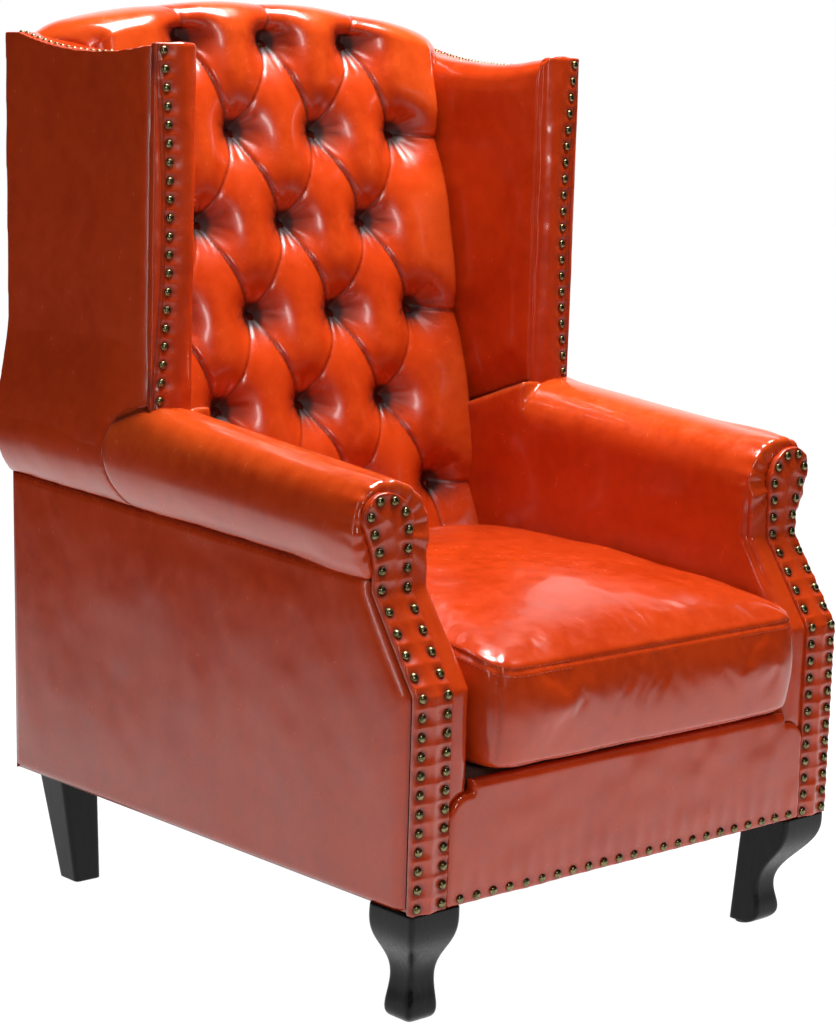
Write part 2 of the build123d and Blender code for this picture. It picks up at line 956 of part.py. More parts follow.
# Inside arm: the roll, the padding below it, and the strip beside the facing
lobe_rear_y = wing_front_y + lobe_depth + overrun
arm_rear_z = seam_at(rest_y(wing_seam_rear_z, -pad_depth))
with BuildPart() as roll_end:
    add(roll_between(wing_front_y, lobe_rear_y))
    add(lobe_space.part, mode=Mode.INTERSECT)
with BuildPart() as inside_arm:
    add(roll_between(facing_rear_y, wing_front_y))
    add(
        side_board(
            set_back_line(strip_back, pad_low_z, head_inner_z)
            + [(facing_rear_y + overrun, head_inner_z), (facing_rear_y + overrun, pad_low_z)],
            arm_inner_x,
            frame_inner_x,
        )
    )
    add(
        side_board(
            [
                (wing_front_y, pad_low_z),
                (wing_front_y, seam_at(wing_front_y)),
                (rest_y(arm_rear_z, -pad_depth), arm_rear_z),
                (rest_y(pad_low_z, -pad_depth), pad_low_z),
            ],
            arm_inner_x,
            frame_inner_x,
        )
    )
    add(roll_end.part)
    for neighbour in (
        arm_post.part,
        arm_facing.part,
        facing_bores,
        arm_rail.part,
        wing_facing.part,
        wing_post.part,
        back_stile_cut.part,
        inside_wing.part,
        apron.part,
        front_rail.part,
        outside_wing.part,
    ):
        add(neighbour, mode=Mode.SUBTRACT)
save_pair(inside_arm.part, "inside_arm")

# Webbing of the back: upright straps on the two rails, and straps across on the stiles
with BuildPart() as back_webbing:
    for i in range(back_straps_up):
        x = back_strap_pitch * (i - (back_straps_up - 1) / 2)
        add(
            side_board(
                leaning_strip(
                    stile_front,
                    rail_front,
                    cross_rail_z + strap_end_in,
                    top_rail_low_z + back_strap_lap,
                ),
                x - strap_width / 2,
                x + strap_width / 2,
            )
        )
    for i in range(back_straps_cross):
        z = cross_rail_z + back_cross_first + row_pitch * i
        add(
            side_board(
                leaning_strip(-pad_depth, stile_front, z, z + strap_width),
                strap_end_in - frame_inner_x,
                frame_inner_x - strap_end_in,
            )
        )
save(back_webbing.part, "back_webbing")

# Inside back: a leaning pad with rolled crest, on which each puff between the folds stands
ear_z = back_corner_z + back_side_gap
pad_half_width = wing_inner_x - back_side_gap
ear_inner_x = crest_half_width - crest_end_in
arch_end_z = crest_z - crest_end_drop


def row_height(row):
    """Height of a row of buttons up the leaning plane, counted from the lowest."""
    return row * row_pitch


def button_steps(row):
    """Half pitches from the middle to each button: four buttons in even rows, three in odd ones."""
    return (-3, -1, 1, 3) if row % 2 == 0 else (-2, 0, 2)


top_row = rows - 1
crest_v = (crest_z - puff_crest_drop - lowest_row_z) / cos(lean)
foot_v = (cushion_back_z - lowest_row_z) / cos(lean)


def puff_outline(step, row):
    """The folds round the puff that is centred between two buttons of a row."""
    left, x, right = (half_pitch * place for place in (step - 1, step, step + 1))
    v = row_height(row)
    lower = [(x, row_height(row - 1))] if row else [(left, foot_v), (right, foot_v)]
    upper = [(x, row_height(row + 1))]
    if row == top_row:
        upper = [(right, crest_v), (left, crest_v)]
    right_side, left_side = [(right, v)], [(left, v)]
    if step > 2:
        right_side = [(pad_half_width, lower[0][1]), (pad_half_width, upper[0][1])]
    if step < -2:
        left_side = [(-pad_half_width, upper[0][1]), (-pad_half_width, lower[0][1])]
    return list(dict.fromkeys(lower + right_side + upper + left_side))


puff_outlines = [
    puff_outline(step, row) for row in range(rows) for step in button_steps(row + 1)
]
last_x = half_pitch * 3
puff_outlines += [
    [(last_x, foot_v), (pad_half_width, foot_v), (pad_half_width, 0), (last_x, 0)],
    [(-pad_half_width, foot_v), (-last_x, foot_v), (-last_x, 0), (-pad_half_width, 0)],
]
buttons = {
    (half_pitch * step, row_height(row)) for row in range(rows) for step in button_steps(row)
}


def over_rest(place, height):
    """A point of the back: a place across and up the leaning plane, proud of the buttons."""
    return rest_plane(0).from_local_coords((*place, height))


def between(start, end, share):
    """The place a share of the way from one place to another."""
    return tuple(a + (b - a) * share for a, b in zip(start, end))


def towards(start, end, length):
    """The place some length along the way from one place to another."""
    return between(start, end, length / (Vector(*end) - Vector(*start)).length)


def puff_faces(points):
    """One stuffed puff, as three-cornered faces from its rim over two rings to its middle."""
    corners = []
    rim = []
    for i, corner in enumerate(points):
        before, after = points[i - 1], points[(i + 1) % len(points)]
        if corner in buttons:
            ends = [towards(corner, place, dimple_foot_radius) for place in (before, after)]
            turn = towards(corner, between(*ends, 1 / 2), dimple_foot_radius)
            rim += [(place, -dimple_depth, True) for place in (ends[0], turn, ends[1])]
            seat = [over_rest(place, -dimple_depth) for place in (ends[0], turn, ends[1])]
            centre = over_rest(corner, -dimple_depth)
            corners += [(centre, seat[0], seat[1]), (centre, seat[1], seat[2])]
        else:
            rim.append((corner, tuft_rim_height, True))
        on_border = {corner, after}.isdisjoint(buttons)
        height = tuft_rim_height if on_border else fold_height
        rim.append((between(corner, after, 1 / 2), height, False))
    middle = tuple(sum(values) / len(points) for values in zip(*points))
    rings = [[over_rest(place, height) for place, height, by_corner in rim]]
    for grow_share, corner_share, side_share in puff_ring_shares:
        rings.append(
            [
                over_rest(
                    between(middle, place, grow_share),
                    fold_height + puff_height * (corner_share if by_corner else side_share),
                )
                for place, height, by_corner in rim
            ]
        )
    top = over_rest(middle, fold_height + puff_height)
    count = len(rim)
    faces = corners + [(rings[-1][i - 1], rings[-1][i], top) for i in range(count)]
    for low, high in zip(rings, rings[1:]):
        for i in range(count):
            faces.append((low[i - 1], low[i], high[i]))
            faces.append((low[i - 1], high[i], high[i - 1]))
    return faces


def border_faces(points):
    """The walls and the floor under the outer edges of one puff."""
    faces = []
    floor_middle = over_rest((0, (foot_v + crest_v) / 2), -tuft_base_depth)
    for i, corner in enumerate(points):
        after = points[(i + 1) % len(points)]
        if {corner, after}.isdisjoint(buttons):
            half = between(corner, after, 1 / 2)
            for start, end in ((corner, half), (half, after)):
                foot = [over_rest(place, -tuft_base_depth) for place in (start, end)]
                rim = [over_rest(place, tuft_rim_height) for place in (end, start)]
                faces += [foot + rim, foot + [floor_middle]]
    return faces


tuft_faces = []
for outline in puff_outlines:
    tuft_faces += puff_faces(outline) + border_faces(outline)
tufts = Solid(Shell([Face(Wire.make_polygon(corners)) for corners in tuft_faces]))

with BuildPart() as inside_back:
    with BuildSketch(Plane.YZ.offset(-crest_half_width)):
        with BuildLine():
            face_low_y = rest_y(pad_low_z, fold_height)
            brow_y = rest_y(brow_z, fold_height)
            lap_z = cushion_back_z + tuft_recess
            recess = -dimple_depth - tuft_recess
            face = Polyline(
                (face_low_y, pad_low_z),
                (rest_y(lap_z, fold_height), lap_z),
                (rest_y(lap_z, recess), lap_z),
                (rest_y(brow_z, recess), brow_z),
                (brow_y, brow_z),
            )
            brow = ThreePointArc(
                face @ 1,
                (
                    brow_y + (crest_y - brow_y) * brow_share,
                    brow_z + (crest_z - brow_z) * round_share,
                ),
                (crest_y, crest_z),
            )
            nape_z = crest_z - crest_padding + cover
            nape_y = rear_at(nape_z)
            nape = ThreePointArc(
                brow @ 1,
                (
                    crest_y + (nape_y - crest_y) * round_share,
                    nape_z + (crest_z - nape_z) * round_share,
                ),
                (nape_y, nape_z),
            )
            Polyline(
                nape @ 1,
                (rear_at(top_rail_low_z), top_rail_low_z),
                (rest_y(top_rail_low_z, -pad_depth), top_rail_low_z),
                (rest_y(pad_low_z, -pad_depth), pad_low_z),
                face @ 0,
            )
        make_face()
    extrude(amount=2 * crest_half_width)
    add(tufts)
    with BuildSketch(Plane.XZ.offset(-high_z)):
        with BuildLine():
            hem = Line((-pad_half_width, pad_low_z), (pad_half_width, pad_low_z))
            right = Polyline(
                hem @ 1,
                (pad_half_width, ear_z),
                (crest_half_width, ear_z),
                (ear_inner_x, arch_end_z),
            )
            arch = ThreePointArc(right @ 1, (0, crest_z), (-ear_inner_x, arch_end_z))
            Polyline(
                arch @ 1, (-crest_half_width, ear_z), (-pad_half_width, ear_z), hem @ 0
            )
        make_face()
    extrude(amount=2 * high_z, mode=Mode.INTERSECT)
    add(
        box_between(
            (-crest_half_width, front_y - overrun, pad_low_z - overrun),
            (crest_half_width, cushion_rear_y + cushion_gap, cushion_back_z),
        ),
        mode=Mode.SUBTRACT,
    )
    for neighbour in (
        back_webbing.part,
        top_rail.part,
        cross_rail,
        outside_back.part,
        inside_arm.part,
        inside_wing.part,
        back_stile_cut.part,
        mirror(inside_arm.part, about=Plane.YZ),
        mirror(inside_wing.part, about=Plane.YZ),
        mirror(back_stile_cut.part, about=Plane.YZ),
    ):
        add(neighbour, mode=Mode.SUBTRACT)
save(inside_back.part, "inside_back")

# Leather-covered buttons, each seated at the foot of its dimple
button_dome_radius = (button_radius**2 + button_height**2) / (2 * button_height)
button_dome_angle = asin(button_radius / button_dome_radius) / 2
with BuildPart() as button:
    with BuildSketch(Plane.XZ):
        with BuildLine():
            under = Polyline((0, button_height), (0, 0), (button_radius, 0))
            ThreePointArc(
                under @ 1,
                (
                    button_dome_radius * sin(button_dome_angle),
                    button_height - button_dome_radius * (1 - cos(button_dome_angle)),
                ),
                under @ 0,
            )
        make_face()
    revolve(axis=Axis.Z)

button_seat = rest_plane(-dimple_depth)
with BuildPart() as back_buttons:
    with Locations(*[Location(button_seat) * Location((*place, 0)) for place in sorted(buttons)]):
        add(button.part)
save(back_buttons.part, "back_buttons")

# Webbing of the seat: straps front to rear, and straps across laid on them
with BuildPart() as seat_webbing:
    for i in range(seat_straps_long):
        x = seat_strap_pitch * (i - (seat_straps_long - 1) / 2)
        add(
            box_between(
                (x - strap_width / 2, front_rail_y + strap_end_in, rail_high_z),
                (x + strap_width / 2, rear_rail_y + board - strap_end_in, strap_top_z),
            )
        )
    for i in range(seat_straps_cross):
        y = seat_cross_first_y + seat_cross_pitch * i
        add(
            box_between(
                (strap_end_in - frame_x, y, strap_top_z),
                (frame_x - strap_end_in, y + strap_width, pad_low_z),
            )
        )
save(seat_webbing.part, "seat_webbing")

# Seat deck on the webbing, between the apron and the back
deck = box_between(
    (-arm_inner_x, front_y + front_rail_back, pad_low_z),
    (arm_inner_x, cushion_rear_y + cushion_gap, deck_high_z),
)
save(deck, "seat_deck")


def cushion_section(y, half_width, low_z, side_z, crown):
    """The cushion across its width: flat below, swelling sides and a crowned top."""
    swell_x = half_width + cushion_side_swell
    middle_z = (low_z + side_z) / 2
    with BuildSketch(Plane.XZ.offset(-y)) as section:
        with BuildLine():
            under = Line((-half_width, low_z), (half_width, low_z))
            right = ThreePointArc(under @ 1, (swell_x, middle_z), (half_width, side_z))
            top = ThreePointArc(right @ 1, (0, side_z + crown), (-half_width, side_z))
            ThreePointArc(top @ 1, (-swell_x, middle_z), under @ 0)
        make_face()
    return section.sketch.face()


# Loose seat cushion, higher at the rear, with a rounded nose that hangs over the apron
cushion_half = arm_inner_x - cushion_gap - cushion_side_swell
nose_half = cushion_half - cushion_corner_in
with BuildPart() as seat_cushion:
    loft(
        sections=[
            cushion_section(
                cushion_nose_y, nose_half - cushion_corner_in, cushion_nose_low_z,
                cushion_nose_high_z, cushion_front_crown,
            ),
            cushion_section(
                cushion_nose_y + cushion_nose_step, nose_half, cushion_low_z,
                cushion_front_z, cushion_front_crown,
            ),
            cushion_section(
                cushion_shoulder_y, cushion_half, cushion_low_z, cushion_shoulder_z,
                cushion_shoulder_crown,
            ),
            cushion_section(
                cushion_middle_y, cushion_half, cushion_low_z, cushion_middle_z,
                cushion_middle_crown,
            ),
            cushion_section(
                cushion_back_y, cushion_half, cushion_low_z, cushion_back_z,
                cushion_back_crown,
            ),
            cushion_section(
                cushion_rear_y, cushion_half, cushion_low_z, cushion_rear_z,
                cushion_rear_crown,
            ),
        ],
        ruled=True,
    )
save(seat_cushion.part, "seat_cushion")

# Black cloth under the seat frame
bolt_places = [
    (side * x, y, leg_height)
    for side in (-1, 1)
    for x, y in ((front_bolt_x, front_bolt_y), (rear_bolt_x, rear_bolt_y))
]
with BuildPart() as dust_cover:
    add(
        box_between(
            (-frame_x, front_rail_y, leg_height),
            (frame_x, rear_low_y - cover, rail_low_z),
        )
    )
    with Locations(*bolt_places):
        Cylinder(bolt_radius, 2 * bolt_half_length, mode=Mode.SUBTRACT)
save(dust_cover.part, "dust_cover")

# Dowel screws that hold the legs
with BuildPart() as leg_bolts:
    with Locations(*bolt_places):
        Cylinder(bolt_radius, 2 * bolt_half_length)
save(leg_bolts.part, "leg_bolts")


def leg_bores(x, y, foot_x, foot_y):
    """The holes in a leg: a screw at its top and a glide's pin at its foot."""
    with BuildPart() as bores:
        with Locations((x, y, leg_height)):
            Cylinder(bolt_radius, 2 * bolt_half_length)
        with Locations((foot_x, foot_y, glide_height)):
            Cylinder(glide_pin_radius, 2 * glide_pin_length)
    return bores.part


# Front legs: swelling at the knee, drawn in at the ankle, turned out at the toe
front_foot_x = front_leg_inner_x + front_foot_shift_x + foot_size / 2
front_foot_y = front_leg_inner_y + front_foot_shift_y - foot_size / 2
with BuildPart() as front_leg:
    for z, size in (
        (glide_height, foot_size),
        (toe_z, toe_size),
        (ankle_z, ankle_size),
        (calf_z, calf_size),
        (knee_z, knee_size),
        (leg_height, front_leg_top),
    ):
        drop_share = (leg_height - z) / leg_height
        x = front_leg_inner_x + front_foot_shift_x * drop_share + size / 2
        y = front_leg_inner_y + front_foot_shift_y * drop_share - size / 2
        with BuildSketch(Plane.XY.offset(z)):
            with Locations((x, y)):
                RectangleRounded(size, size, leg_corner_round)
    loft()
    add(
        leg_bores(front_bolt_x, front_bolt_y, front_foot_x, front_foot_y),
        mode=Mode.SUBTRACT,
    )
save_pair(front_leg.part, "front_leg")

# Rear legs: square and tapered
with BuildPart() as rear_leg:
    for z, x, y, size in (
        (glide_height, rear_foot_x, rear_foot_y, rear_foot_size),
        (leg_height, rear_leg_x, rear_leg_y, rear_leg_top),
    ):
        with BuildSketch(Plane.XY.offset(z)):
            with Locations((x, y)):
                RectangleRounded(size, size, leg_corner_round)
    loft()
    add(leg_bores(rear_bolt_x, rear_bolt_y, rear_foot_x, rear_foot_y), mode=Mode.SUBTRACT)
save_pair(rear_leg.part, "rear_leg")

# Glides under the feet, each with a pin
with BuildPart() as glides:
    for side in (-1, 1):
        for x, y in ((front_foot_x, front_foot_y), (rear_foot_x, rear_foot_y)):
            with BuildSketch(Plane.XY):
                with Locations((side * x, y)):
                    Circle(glide_radius)
            extrude(amount=glide_height)
            with BuildSketch(Plane.XY.offset(glide_height)):
                with Locations((side * x, y)):
                    Circle(glide_pin_radius)
            extrude(amount=glide_pin_length)
save(glides.part, "glides")
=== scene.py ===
import math

import bmesh
import bpy
import numpy as np
from bpy.props import FloatProperty, FloatVectorProperty, PointerProperty
from mathutils import Matrix, Vector
from mathutils.bvhtree import BVHTree


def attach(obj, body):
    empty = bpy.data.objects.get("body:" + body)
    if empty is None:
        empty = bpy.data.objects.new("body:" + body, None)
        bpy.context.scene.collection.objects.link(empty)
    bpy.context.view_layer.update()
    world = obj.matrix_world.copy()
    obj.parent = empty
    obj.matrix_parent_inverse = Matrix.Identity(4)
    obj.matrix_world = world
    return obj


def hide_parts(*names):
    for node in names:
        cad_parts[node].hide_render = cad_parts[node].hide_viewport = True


bl_info = {
    "name": "Leather wing armchair",
    "version": (1, 0, 0),
    "blender": (4, 5, 0),
    "location": "3D View > Sidebar > Chair",
    "description": "Dresses a wing armchair in buttoned leather, brass nails and polished wood",
    "category": "Add Mesh",
}

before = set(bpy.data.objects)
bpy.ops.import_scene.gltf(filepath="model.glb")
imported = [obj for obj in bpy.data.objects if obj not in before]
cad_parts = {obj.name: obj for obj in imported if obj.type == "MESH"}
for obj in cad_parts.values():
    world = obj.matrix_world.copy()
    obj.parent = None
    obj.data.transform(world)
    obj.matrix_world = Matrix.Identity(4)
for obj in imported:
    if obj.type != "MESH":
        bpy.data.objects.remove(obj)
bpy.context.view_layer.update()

# All sizes below are in millimetres, with X to the right, Y to the rear and Z up, unless a
# comment says otherwise. Arms and wings are made on the right and mirrored.
MM = 0.001
CAD_WELD = 2e-5  # metres within which points of a CAD mesh are one
OWN_WELD = 1e-6  # the same for meshes made here

# Arm: its front line is upright, slopes back, and is upright again
FRONT_Y = -386
SETBACK = 72
SETBACK_LOW_Z = 395
SETBACK_HIGH_Z = 500
HEAD_Y = FRONT_Y + SETBACK
BODY_X = 354.5
ARM_INNER_X = 266
ROLL_X = 330
ROLL_Z = 566
ROLL_RADIUS = 42
ROLL_FOOT_Z = (500, 560)
# Heights over which the roll's top turns lighter: wear and painted highlight
ROLL_WORN_LIT_Z = (560, 640)
ROLL_END_Z = (622, 645)
GATHER_DEPTH = 1.7
GATHER_PITCH = 15
GATHER_REACH = 17
EDGE_LINE_DEPTH = 1.6
EDGE_LINE_WIDTH = 5
HOLLOW_START = 6
HOLLOW_DEPTH = 5.5
HOLLOW_Z = (430, 480)
HOLLOW_REACH = 30
HIP_SWELL = 3.5
HIP_Y = 60  # behind the arm's front
HIP_LENGTH = 50
HIP_Z = (430, 470)
LOBE_Y = 10  # behind the wing's front
LOBE_LENGTH = 34
WING_SEAM_DEPTH = 1.4
WING_SEAM_WIDTH = 5
ROLL_OUT = 22
CREASE_FRONT_Z = 515
CREASE_RISE = 27
STRIP_BACK = 4
STRIP_ROUND = 19
STRIP_TOP_Z = (580, 530)
BASE_Z = 150

# Wing
WING_Y = 102
WING_INNER_X = 288
WING_FRONT_Z = 1090
WING_DIP_Z = 1078.5
WING_DIP_Y = 222
WING_RISE_Y = 395
WING_SEAM_FRONT_Z = 655
WING_SEAM_REAR_Z = 612
WING_SEAM_RUN = 130
WING_TOP_ROUND = 22
BAND_TOP_ROUND = 16
BAND_FRONT_ROUND = 20
BAND_SEAMS = (7.5, 12.5)
BAND_SEAM_DEPTH = 1.3
BAND_SIDE_FALL = 3.5
BAND_SWELL = 3.4
BAND_SWELL_X = 24
WING_PUFF = 5
# Heights over which the wing's top turns lighter: wear and painted highlight
WING_WORN_LIT_Z = (1040, 1100)
OUTSIDE_PUFF = 1.5
OUTSIDE_LOW_Z = (680, 740)
OUTSIDE_HIGH_Z = (1080, 1030)
TOP_RIPPLE_DEPTH = 1.1
TOP_RIPPLE_LENGTH = 2.1
BELLY_LOW_Z = 606
BELLY_HIGH_Z = 770
OUTSIDE_ROUND = 7
OUTSIDE_ROUND_Z = (640, 690)
CORNER_Y = (195, 130)
CORNER_LOW_Z = (600, 640)
CORNER_HIGH_Z = (730, 675)
CORNER_PULL = (0, 3, 8)

# Apron
APRON_GATHER_DEPTH = 0.7
APRON_GATHER_PITCH = 25.6
APRON_GATHER_REACH = 16
APRON_GATHER_Z = BASE_Z + 15

# Rear
REAR_LOW_Y = 396
REAR_HIGH_Y = 423.5
BACK_CORNER_Z = 1100.5
CREST_Z = 1151
CREST_Y = 362

# Buttons of the back, on a leaning plane
LEAN = math.radians(11.65)
ROW_Y = 224
ROW_Z = 500.3
ROW_PITCH = 121.1
BUTTON_PITCH = 139.8
BUTTONS_IN_ROW = (4, 3)
ROWS = 6
PAD_HALF = 287.6
BUTTON_SINK = -9.0

# Crest roll of the back
CREST_HALF = 336
CREST_END_X = 320
CREST_DROP = 34
CREST_TURN_X = 292
EAR_Z = 1086
BROW_Z = 1106
NAPE_Z = 1122
BACK_FOOT_Z = 272

# Folds and puffs of the back
FOLD_RISE = 24
FOLD_SIDE_RUN = 130
FOLD_SIDE_DROP = 5
FOLD_END_RUN = 260
FOLD_SPREAD = 1.03
UPRIGHT_FOLD = 0.2
PILLOW_RISE = 13
PILLOW_REACH = 30
PILLOW_LEAN = 7
LIP_RISE = 2.6
LIP_LEAN = 0.75
LIP_REACH = 9
LIP_START = 2.2
CREASE_DEPTH = 3.4
CREASE_REACH = 2.6
SEAT_REACH = 35
POCKET_DEPTH = 5
POCKET_REACH = 13
PLEAT_DEPTH = 0.6
PLEAT_PLACE = 24
PLEAT_REACH = 12
PLEATS = (11, 17)
# Painted shade on the flank of the puff beside each button: its shift from the button, reach and
# strength
SHADE_SHIFT = (15, -1)
SHADE_REACH = 29
SHADE_SHARE = 0.46
PUFF_TOP = 37
OVERHANG = 0.3
EDGE_WIDTH = 24
EDGE_FALL = 27
EDGE_BEND = 2.4
DROOP = 24
DROOP_RUN = 130
CREST_RUN = 130
PAD_BACK = 26
PAD_BACK_SHARE = 0.99
CREST_BACK = 36
CREST_RISE = 4
CREST_END_BEND = 7
DROOP_BEND = 9
NAPE_PAST_REAR = 1.5
BROW_PULL = (0.52, 0.4)  # how far the crest's curve is pulled out of the brow and over the nape
NAPE_PULL = (0.55, 0.4)
CREST_WIDENS = (0.1, 0.7)  # shares of the way over the crest between which each thing happens
CREST_FALLS = (0.5, 0.95)
TUCK_FADES = (0, 0.5)
PUFFS_FADE = (0, 0.55)
LIFT_FADES = (0.6, 1)
# Painted shade along the folds, near the buttons and deep in the pockets
FOLD_DARK = 0.42
BUTTON_DARK = 0.4
POCKET_DARK = 0.95
POCKET_DARK_DEPTH = 7
PAD_ROWS, CREST_ROWS, PAD_COLUMNS = 262, 60, 227
COLUMN_TURN = math.radians(80)
COLUMN_CROWDING = 0.35

# Loose cushion
CUSHION_REAR_Y = 171.5
CUSHION_HALF = 258.5
CUSHION_FRONT_Y = -417
CUSHION_LIMIT_Y = 423.4
CUSHION_LOW_Z = 298.8
CUSHION_SIDE_X = 265.2
CUSHION_MIDDLE_Y = (CUSHION_FRONT_Y + CUSHION_REAR_Y) / 2
SEAM_PLACES = ((-417, 412), (-384, 421), (-294, 433), (-170, 443), (-6, 446), (56, 446), (171, 438))
CORNER_BEND = 2 / 17
CROWN = 23
CROWN_EDGE = 9
UNDERSIDE_EDGE = 3
SWELL = 6
TOP_RINGS, SIDE_RINGS = 26, 16
FIRST_RING = 0.02
RIM = (0.93, 0.985)  # shares of the cushion's size between which its rim starts
SEAM_DEPTH = 1.9
SEAM_WIDTH = 2.4
LOW_SEAM_RISE = 6
WELT_RISE = 1.1
WELT_WIDTH = 3.4
WELT_OVER_SEAM = 6
WELT_UNDER_LOW_SEAM = 5
UPRIGHT_DEPTH = 1.5
UPRIGHT_WIDTH = 2.6
UPRIGHT_INSET = 9
UPRIGHT_BAND = 18
PULLS = 9
PULL_DEPTH = 0.9
PULL_PLACE = 30
PULL_REACH = 32
PULL_RISE = (-8, 2)
RIPPLE_DEPTH = 0.55
RIPPLE_LENGTH = 3.1
RIPPLE_DROP = 9
SIDE_BAND = 12
CUSHION_CLEARANCE = 0.3
UNDERSIDE_CLEARANCE = 0.2
UNDERSIDE_EASE = 2.0
STITCH_END = 30
STITCH_SEARCH = 40
STITCH_COUNT = 900
STITCH_LINES = ((7.5, 0.7), (-5.5, 0.0))  # height above the seam, slope of the way out
BLOW_CAP = 5.0
BLOW_FRAMES = 20
CLOTH = {
    "quality": 6,
    "mass": 0.25,
    "tension_stiffness": 12,
    "compression_stiffness": 12,
    "shear_stiffness": 6,
    "bending_stiffness": 0.6,
    "use_pressure": True,
    "uniform_pressure_force": 4.0,
}

# Flat panels of leather
PANEL_EDGE = 7
PANEL_SINK = 5
PANEL_FOLD = 4
SHOULDER_FOOT = 4
SIDE_GRID = (60, 120)
SIDE_SETBACK = 10.5
SIDE_SHOULDER = 4.5
SIDE_SWELL = 1.4
SIDE_SWELL_RUN = 60
SIDE_FRONT_FALL = 5.5
SIDE_FRONT_RUN = 30
REAR_GRID = (120, 80)
REAR_INSET = 0.6
REAR_UNDER_CREST = 29
REAR_OVER_CORNER = 24
REAR_SHOULDER = 4.4
REAR_SWELL = 1.6
REAR_SWELL_RUN = 80

# Unevenness of each surface, in layers: depth, pitch and seed
ACROSS_WANDER = ((3.0, 64, 3),)
UP_WANDER = ((2.2, 52, 4),)
PUFF_WAVES = ((0.9, 36, 5),)
GATHER_WANDER = ((4, 24, 11),)
ROLL_WAVES = ((1.4, 120, 12),)
ROLL_CREASES = ((0.2, 34, 13),)
FACING_WAVES = ((1.3, 26, 21),)
FACING_CREASES = ((0.25, 13, 22),)
BAND_WAVES = ((0.9, 42, 31), (0.35, 13, 32))
WING_WAVES = ((1.3, 70, 41), (0.5, 24, 42))
TOP_WANDER = ((2, 20, 43),)
OUTSIDE_WAVES = ((1.2, 95, 51), (0.45, 30, 52))
APRON_WAVES = ((1.1, 80, 61), (0.5, 26, 62))
PANEL_WAVES = ((1.3, 110, 71), (0.4, 34, 72))
REAR_WAVES = ((1.6, 150, 81),)
CUSHION_HOLLOWS = ((2.0, 170, 91),)
CUSHION_WAVES = ((0.9, 62, 92), (0.3, 22, 93))
CORNER_WANDER = ((2, 40, 94),)
SEAM_WANDER = ((3, 33, 95),)

# Leather at a nail: rise, where it starts and ends, dip and its width
FACING_PUCKER = (3.4, 5, 26, 1.5, 8)
BAND_PUCKER = (1.9, 3, 18, 1.3, 7)
APRON_PUCKER = (1.3, 3, 26, 1.4, 7)

# Size of the small faces of each piece's skin, and rounds of smoothing
SKINS = {
    "inside_arm": (3.4, 8),
    "arm_facing": (1.9, 9),
    "inside_wing": (3.0, 8),
    "wing_facing": (1.9, 8),
    "outside_wing": (2.3, 8),
    "front_apron": (2.3, 6),
    "seat_deck": (7.0, 5),
    "front_leg": (1.7, 5),
    "rear_leg": (1.7, 3),
    "cushion": (5.0, 4),
}

# Decorative nails
NAIL_HEIGHT = 3.2
NAIL_TIP = 1.5
EDGE_NAIL_SHARE = 0.66

# Stage, in metres: lamps have a name, place, target, width, height and power in watts
LAMPS = (
    ("Over_light", (0.36, -0.02, 2.9), (0.0, -0.05, 0.6), 1.1, 1.4, 142),
    ("Front_light", (-1.0, -2.7, 1.7), (0, -0.1, 0.8), 0.34, 1.0, 17),
    ("Side_light", (-2.6, 0.05, 1.1), (-0.3, 0.1, 0.8), 0.16, 1.6, 6),
)
FLOOR_REACH = 14.0
AWAY = (0.672, 0.740, 0.0)  # the way that the camera looks, along the floor
ASIDE = (-0.740, 0.672, 0.0)
GLOW = 1.22
GLOW_SHARE = 0.82
GLOW_AWAY = (-2.6, -0.9, 0.12, 1.0)  # from, to, strength there
GLOW_ASIDE = (1.0, 2.5, 1.0, 0.01)
GLOW_SPREAD = 0.17
WALL_EDGE = (0.62, 0.93)
WALL_DARK = 0.02

# Camera: place in metres, turn in degrees (round, up, roll) and focal length in pixels
CAMERA_PLACE = (-2.19392, -2.4025, 1.05733)
CAMERA_TURN = (-42.254, 9.4885, 1.6827)
CAMERA_FOCAL = 2594.66
PICTURE_HEIGHT = 1024
SENSOR = 36.0


def ease(low, high, value):
    """0 below low, 1 above high, and a smooth step between."""
    share = np.clip((np.asarray(value, float) - low) / (high - low), 0, 1)
    return share * share * (3 - 2 * share)


def bell(distance, width):
    """1 at no distance, falling smoothly to nothing past a few widths."""
    return np.exp(-((np.asarray(distance, float) / width) ** 2))


def facing(normals, axis, way):
    """How far each normal points along an axis, from 0 to 1."""
    return np.clip(way * normals[:, axis], 0, 1)


def front_at(z):
    """Depth of the arm's front face at a height."""
    return FRONT_Y + SETBACK * np.clip((z - SETBACK_LOW_Z) / (SETBACK_HIGH_Z - SETBACK_LOW_Z), 0, 1)


def crease_at(y):
    """Height of the line under the arm's roll, outside."""
    return CREASE_FRONT_Z + CREASE_RISE * (y - HEAD_Y) / (REAR_LOW_Y - HEAD_Y)


def wing_seam_at(y):
    """Height of the seam between the inside arm and the inside wing."""
    return WING_SEAM_FRONT_Z + (WING_SEAM_REAR_Z - WING_SEAM_FRONT_Z) * (y - WING_Y) / WING_SEAM_RUN


def arc_through(a, b, c):
    """The function whose graph is the circular arc through three points."""
    m = np.array([[2 * p[0], 2 * p[1], 1] for p in (a, b, c)], float)
    cx, cy, k = np.linalg.solve(m, [p[0] ** 2 + p[1] ** 2 for p in (a, b, c)])
    radius = math.sqrt(k + cx**2 + cy**2)
    side = 1 if b[1] > cy else -1
    return lambda x: cy + side * np.sqrt(np.maximum(radius**2 - (x - cx) ** 2, 0))


wing_dip = arc_through(
    (WING_Y, WING_FRONT_Z), (WING_DIP_Y, WING_DIP_Z), (WING_RISE_Y, BACK_CORNER_Z)
)


def wing_top_at(y):
    """Height of the wing's top edge at a depth."""
    return wing_dip(np.clip(y, WING_Y, WING_RISE_Y))


def rear_at(z):
    """Depth of the chair's rear face at a height."""
    return REAR_LOW_Y + (REAR_HIGH_Y - REAR_LOW_Y) * (z - BASE_Z) / (BACK_CORNER_Z - BASE_Z)


